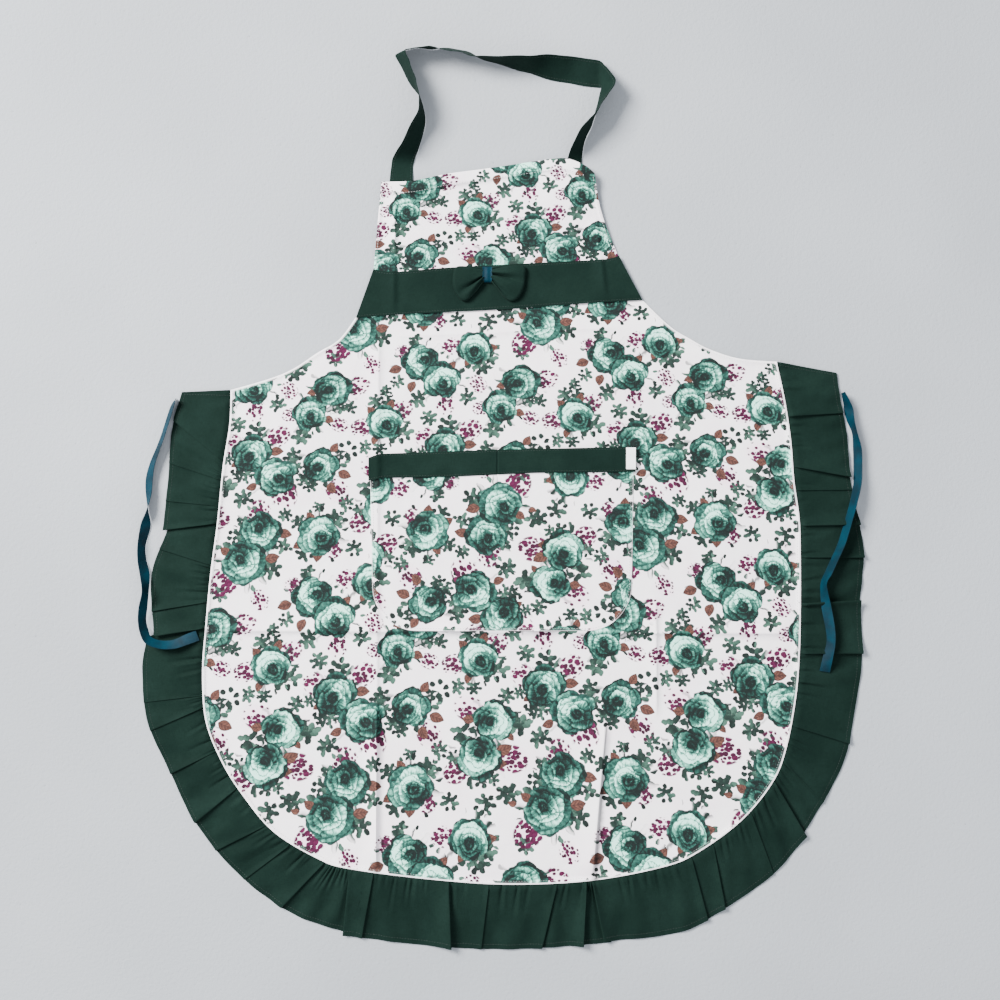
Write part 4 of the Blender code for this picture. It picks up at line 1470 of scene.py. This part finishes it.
def sew(pieces, frill_grids, strap_grid):
    """Every visible row of stitches."""
    for name, piece, line, radius, material in (
            ("seam", "body", beside(SEAM_LINE, 0.0030), 0.00015, grey_thread),
            ("left_armhole", "body", beside(even(ARMHOLE_LEFT), 0.0020), 0.00017, white_thread),
            ("right_armhole", "body", beside(even(ARMHOLE_RIGHT), -0.0020), 0.00017, white_thread),
            ("pocket", "pocket", beside(pocket_sides(), 0.0022)[2:-2], 0.00018, grey_thread),
            ("bib_hem", "bib", beside(even(BIB_TOP), 0.0106)[3:-4], 0.00018, grey_thread),
            ("bib_left", "bib", beside(even(BIB_LEFT), 0.0020)[1:-1], 0.00017, white_thread),
            ("bib_right", "bib", beside(even(BIB_RIGHT), 0.0020)[1:-1], 0.00017, white_thread),
            ("pocket_band_lower", "mouth",
             (resampled(POCKET_BAND_BOTTOM, 0.002) + (0, 0.0016))[1:-1], 0.00017, green_thread),
            ("pocket_band_upper", "mouth",
             (resampled(POCKET_BAND_TOP, 0.002) - (0, 0.0016))[1:-1], 0.00017, green_thread),
            ("chest_band_lower", "band",
             (resampled(BAND_SEAM, 0.002) + (0, 0.0012))[1:-1], 0.00017, green_thread),
            ("chest_band_upper", "band",
             (even(BAND_TOP, 0.002) - (0, 0.0012))[1:-1], 0.00017, green_thread)):
        made = stitches(name + "_stitches", laid_on(line, pieces[piece]), radius, material)
        if piece == "band":
            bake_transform(made)
        else:
            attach(made, "bib" if piece == "bib" else "body")
    above = (0, 0, 0.00005)
    rows = [(name.replace("frill", "hem"), grid[-2] * 0.6 + grid[-3] * 0.4)
            for name, grid in frill_grids.items()]
    rows += [("frill_left_end", frill_grids["frill_left_upper"][2:-1, 2]),
             ("frill_right_end", frill_grids["frill_right_upper"][2:-1, -3])]
    for name, row in rows:
        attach(stitches(name + "_stitches", row + above, 0.00016, green_thread), "body")
    for name, column in (("outer", 1), ("inner", -2)):
        made = stitches(f"strap_{name}_stitches", strap_grid[3:-3, column], 0.00018, green_thread)
        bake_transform(made)


# ---- Building it ----

def light_and_camera():
    scene = bpy.context.scene
    camera = bpy.data.objects.new("camera", bpy.data.cameras.new("camera"))
    camera.data.lens = 50
    camera.data.sensor_width = 36
    camera.location = (-0.0029, -0.0015, 1.3333)
    scene.collection.objects.link(camera)
    scene.camera = camera
    floor_mesh = bpy.data.meshes.new("floor")
    floor_mesh.from_pydata([(-4, -4, -0.0003), (4, -4, -0.0003), (4, 4, -0.0003), (-4, 4, -0.0003)],
                           [], [(0, 1, 2, 3)])
    floor = bpy.data.objects.new("floor", floor_mesh)
    scene.collection.objects.link(floor)
    floor_mesh.materials.append(floor_surface("pale_floor"))

    def area(name, place, aim, size, power, tint):
        lamp = bpy.data.objects.new(name, bpy.data.lights.new(name, "AREA"))
        lamp.data.size = size
        lamp.data.energy = power
        lamp.data.color = tint
        lamp.location = place
        way = Vector(aim) - Vector(place)
        lamp.rotation_euler = way.to_track_quat("-Z", "Y").to_euler()
        scene.collection.objects.link(lamp)

    area("key", (-2.3, 1.5, 2.3), (0, 0, 0), 1.5, 580, (1.0, 0.985, 0.965))
    area("fill", (1.8, -1.8, 2.6), (0, 0, 0), 3.0, 60, (0.93, 0.96, 1.0))
    world = bpy.data.worlds.new("soft_room")
    world.use_nodes = True
    world.node_tree.nodes["Background"].inputs[0].default_value = (0.92, 0.95, 1.0, 1)
    world.node_tree.nodes["Background"].inputs[1].default_value = 1.05
    scene.world = world


light_and_camera()
blue = ribbon_cloth("blue_ribbon")
green = green_cloth("green_cloth")
white_thread = thread("white_thread", (0.78, 0.77, 0.77))
grey_thread = thread("grey_thread", (0.42, 0.43, 0.43))
green_thread = thread("green_thread", (0.0100, 0.0190, 0.0160))
waist_tie("tie_left_ribbon", "waist_tie_left", "tie_left", TIE_LEFT, blue)
waist_tie("tie_right_ribbon", "waist_tie_right", "tie_right", TIE_RIGHT, blue)

face = printed_cloth("floral_face")
back = printed_cloth("floral_back", False)
pieces = {
    "body": body_panel(face, back), "bib": bib_panel(face, back),
    "pocket": pocket_panel(face, back), "band": chest_band(green), "mouth": pocket_band(green),
}
pocket_label(label_tape("label_tape"))
frill_points = {name: frill_length(name, order, green) for order, name in enumerate(FRILLS)}
strap_grid = neck_strap(green)
bow(green, blue)
sew(pieces, frill_points, strap_grid)
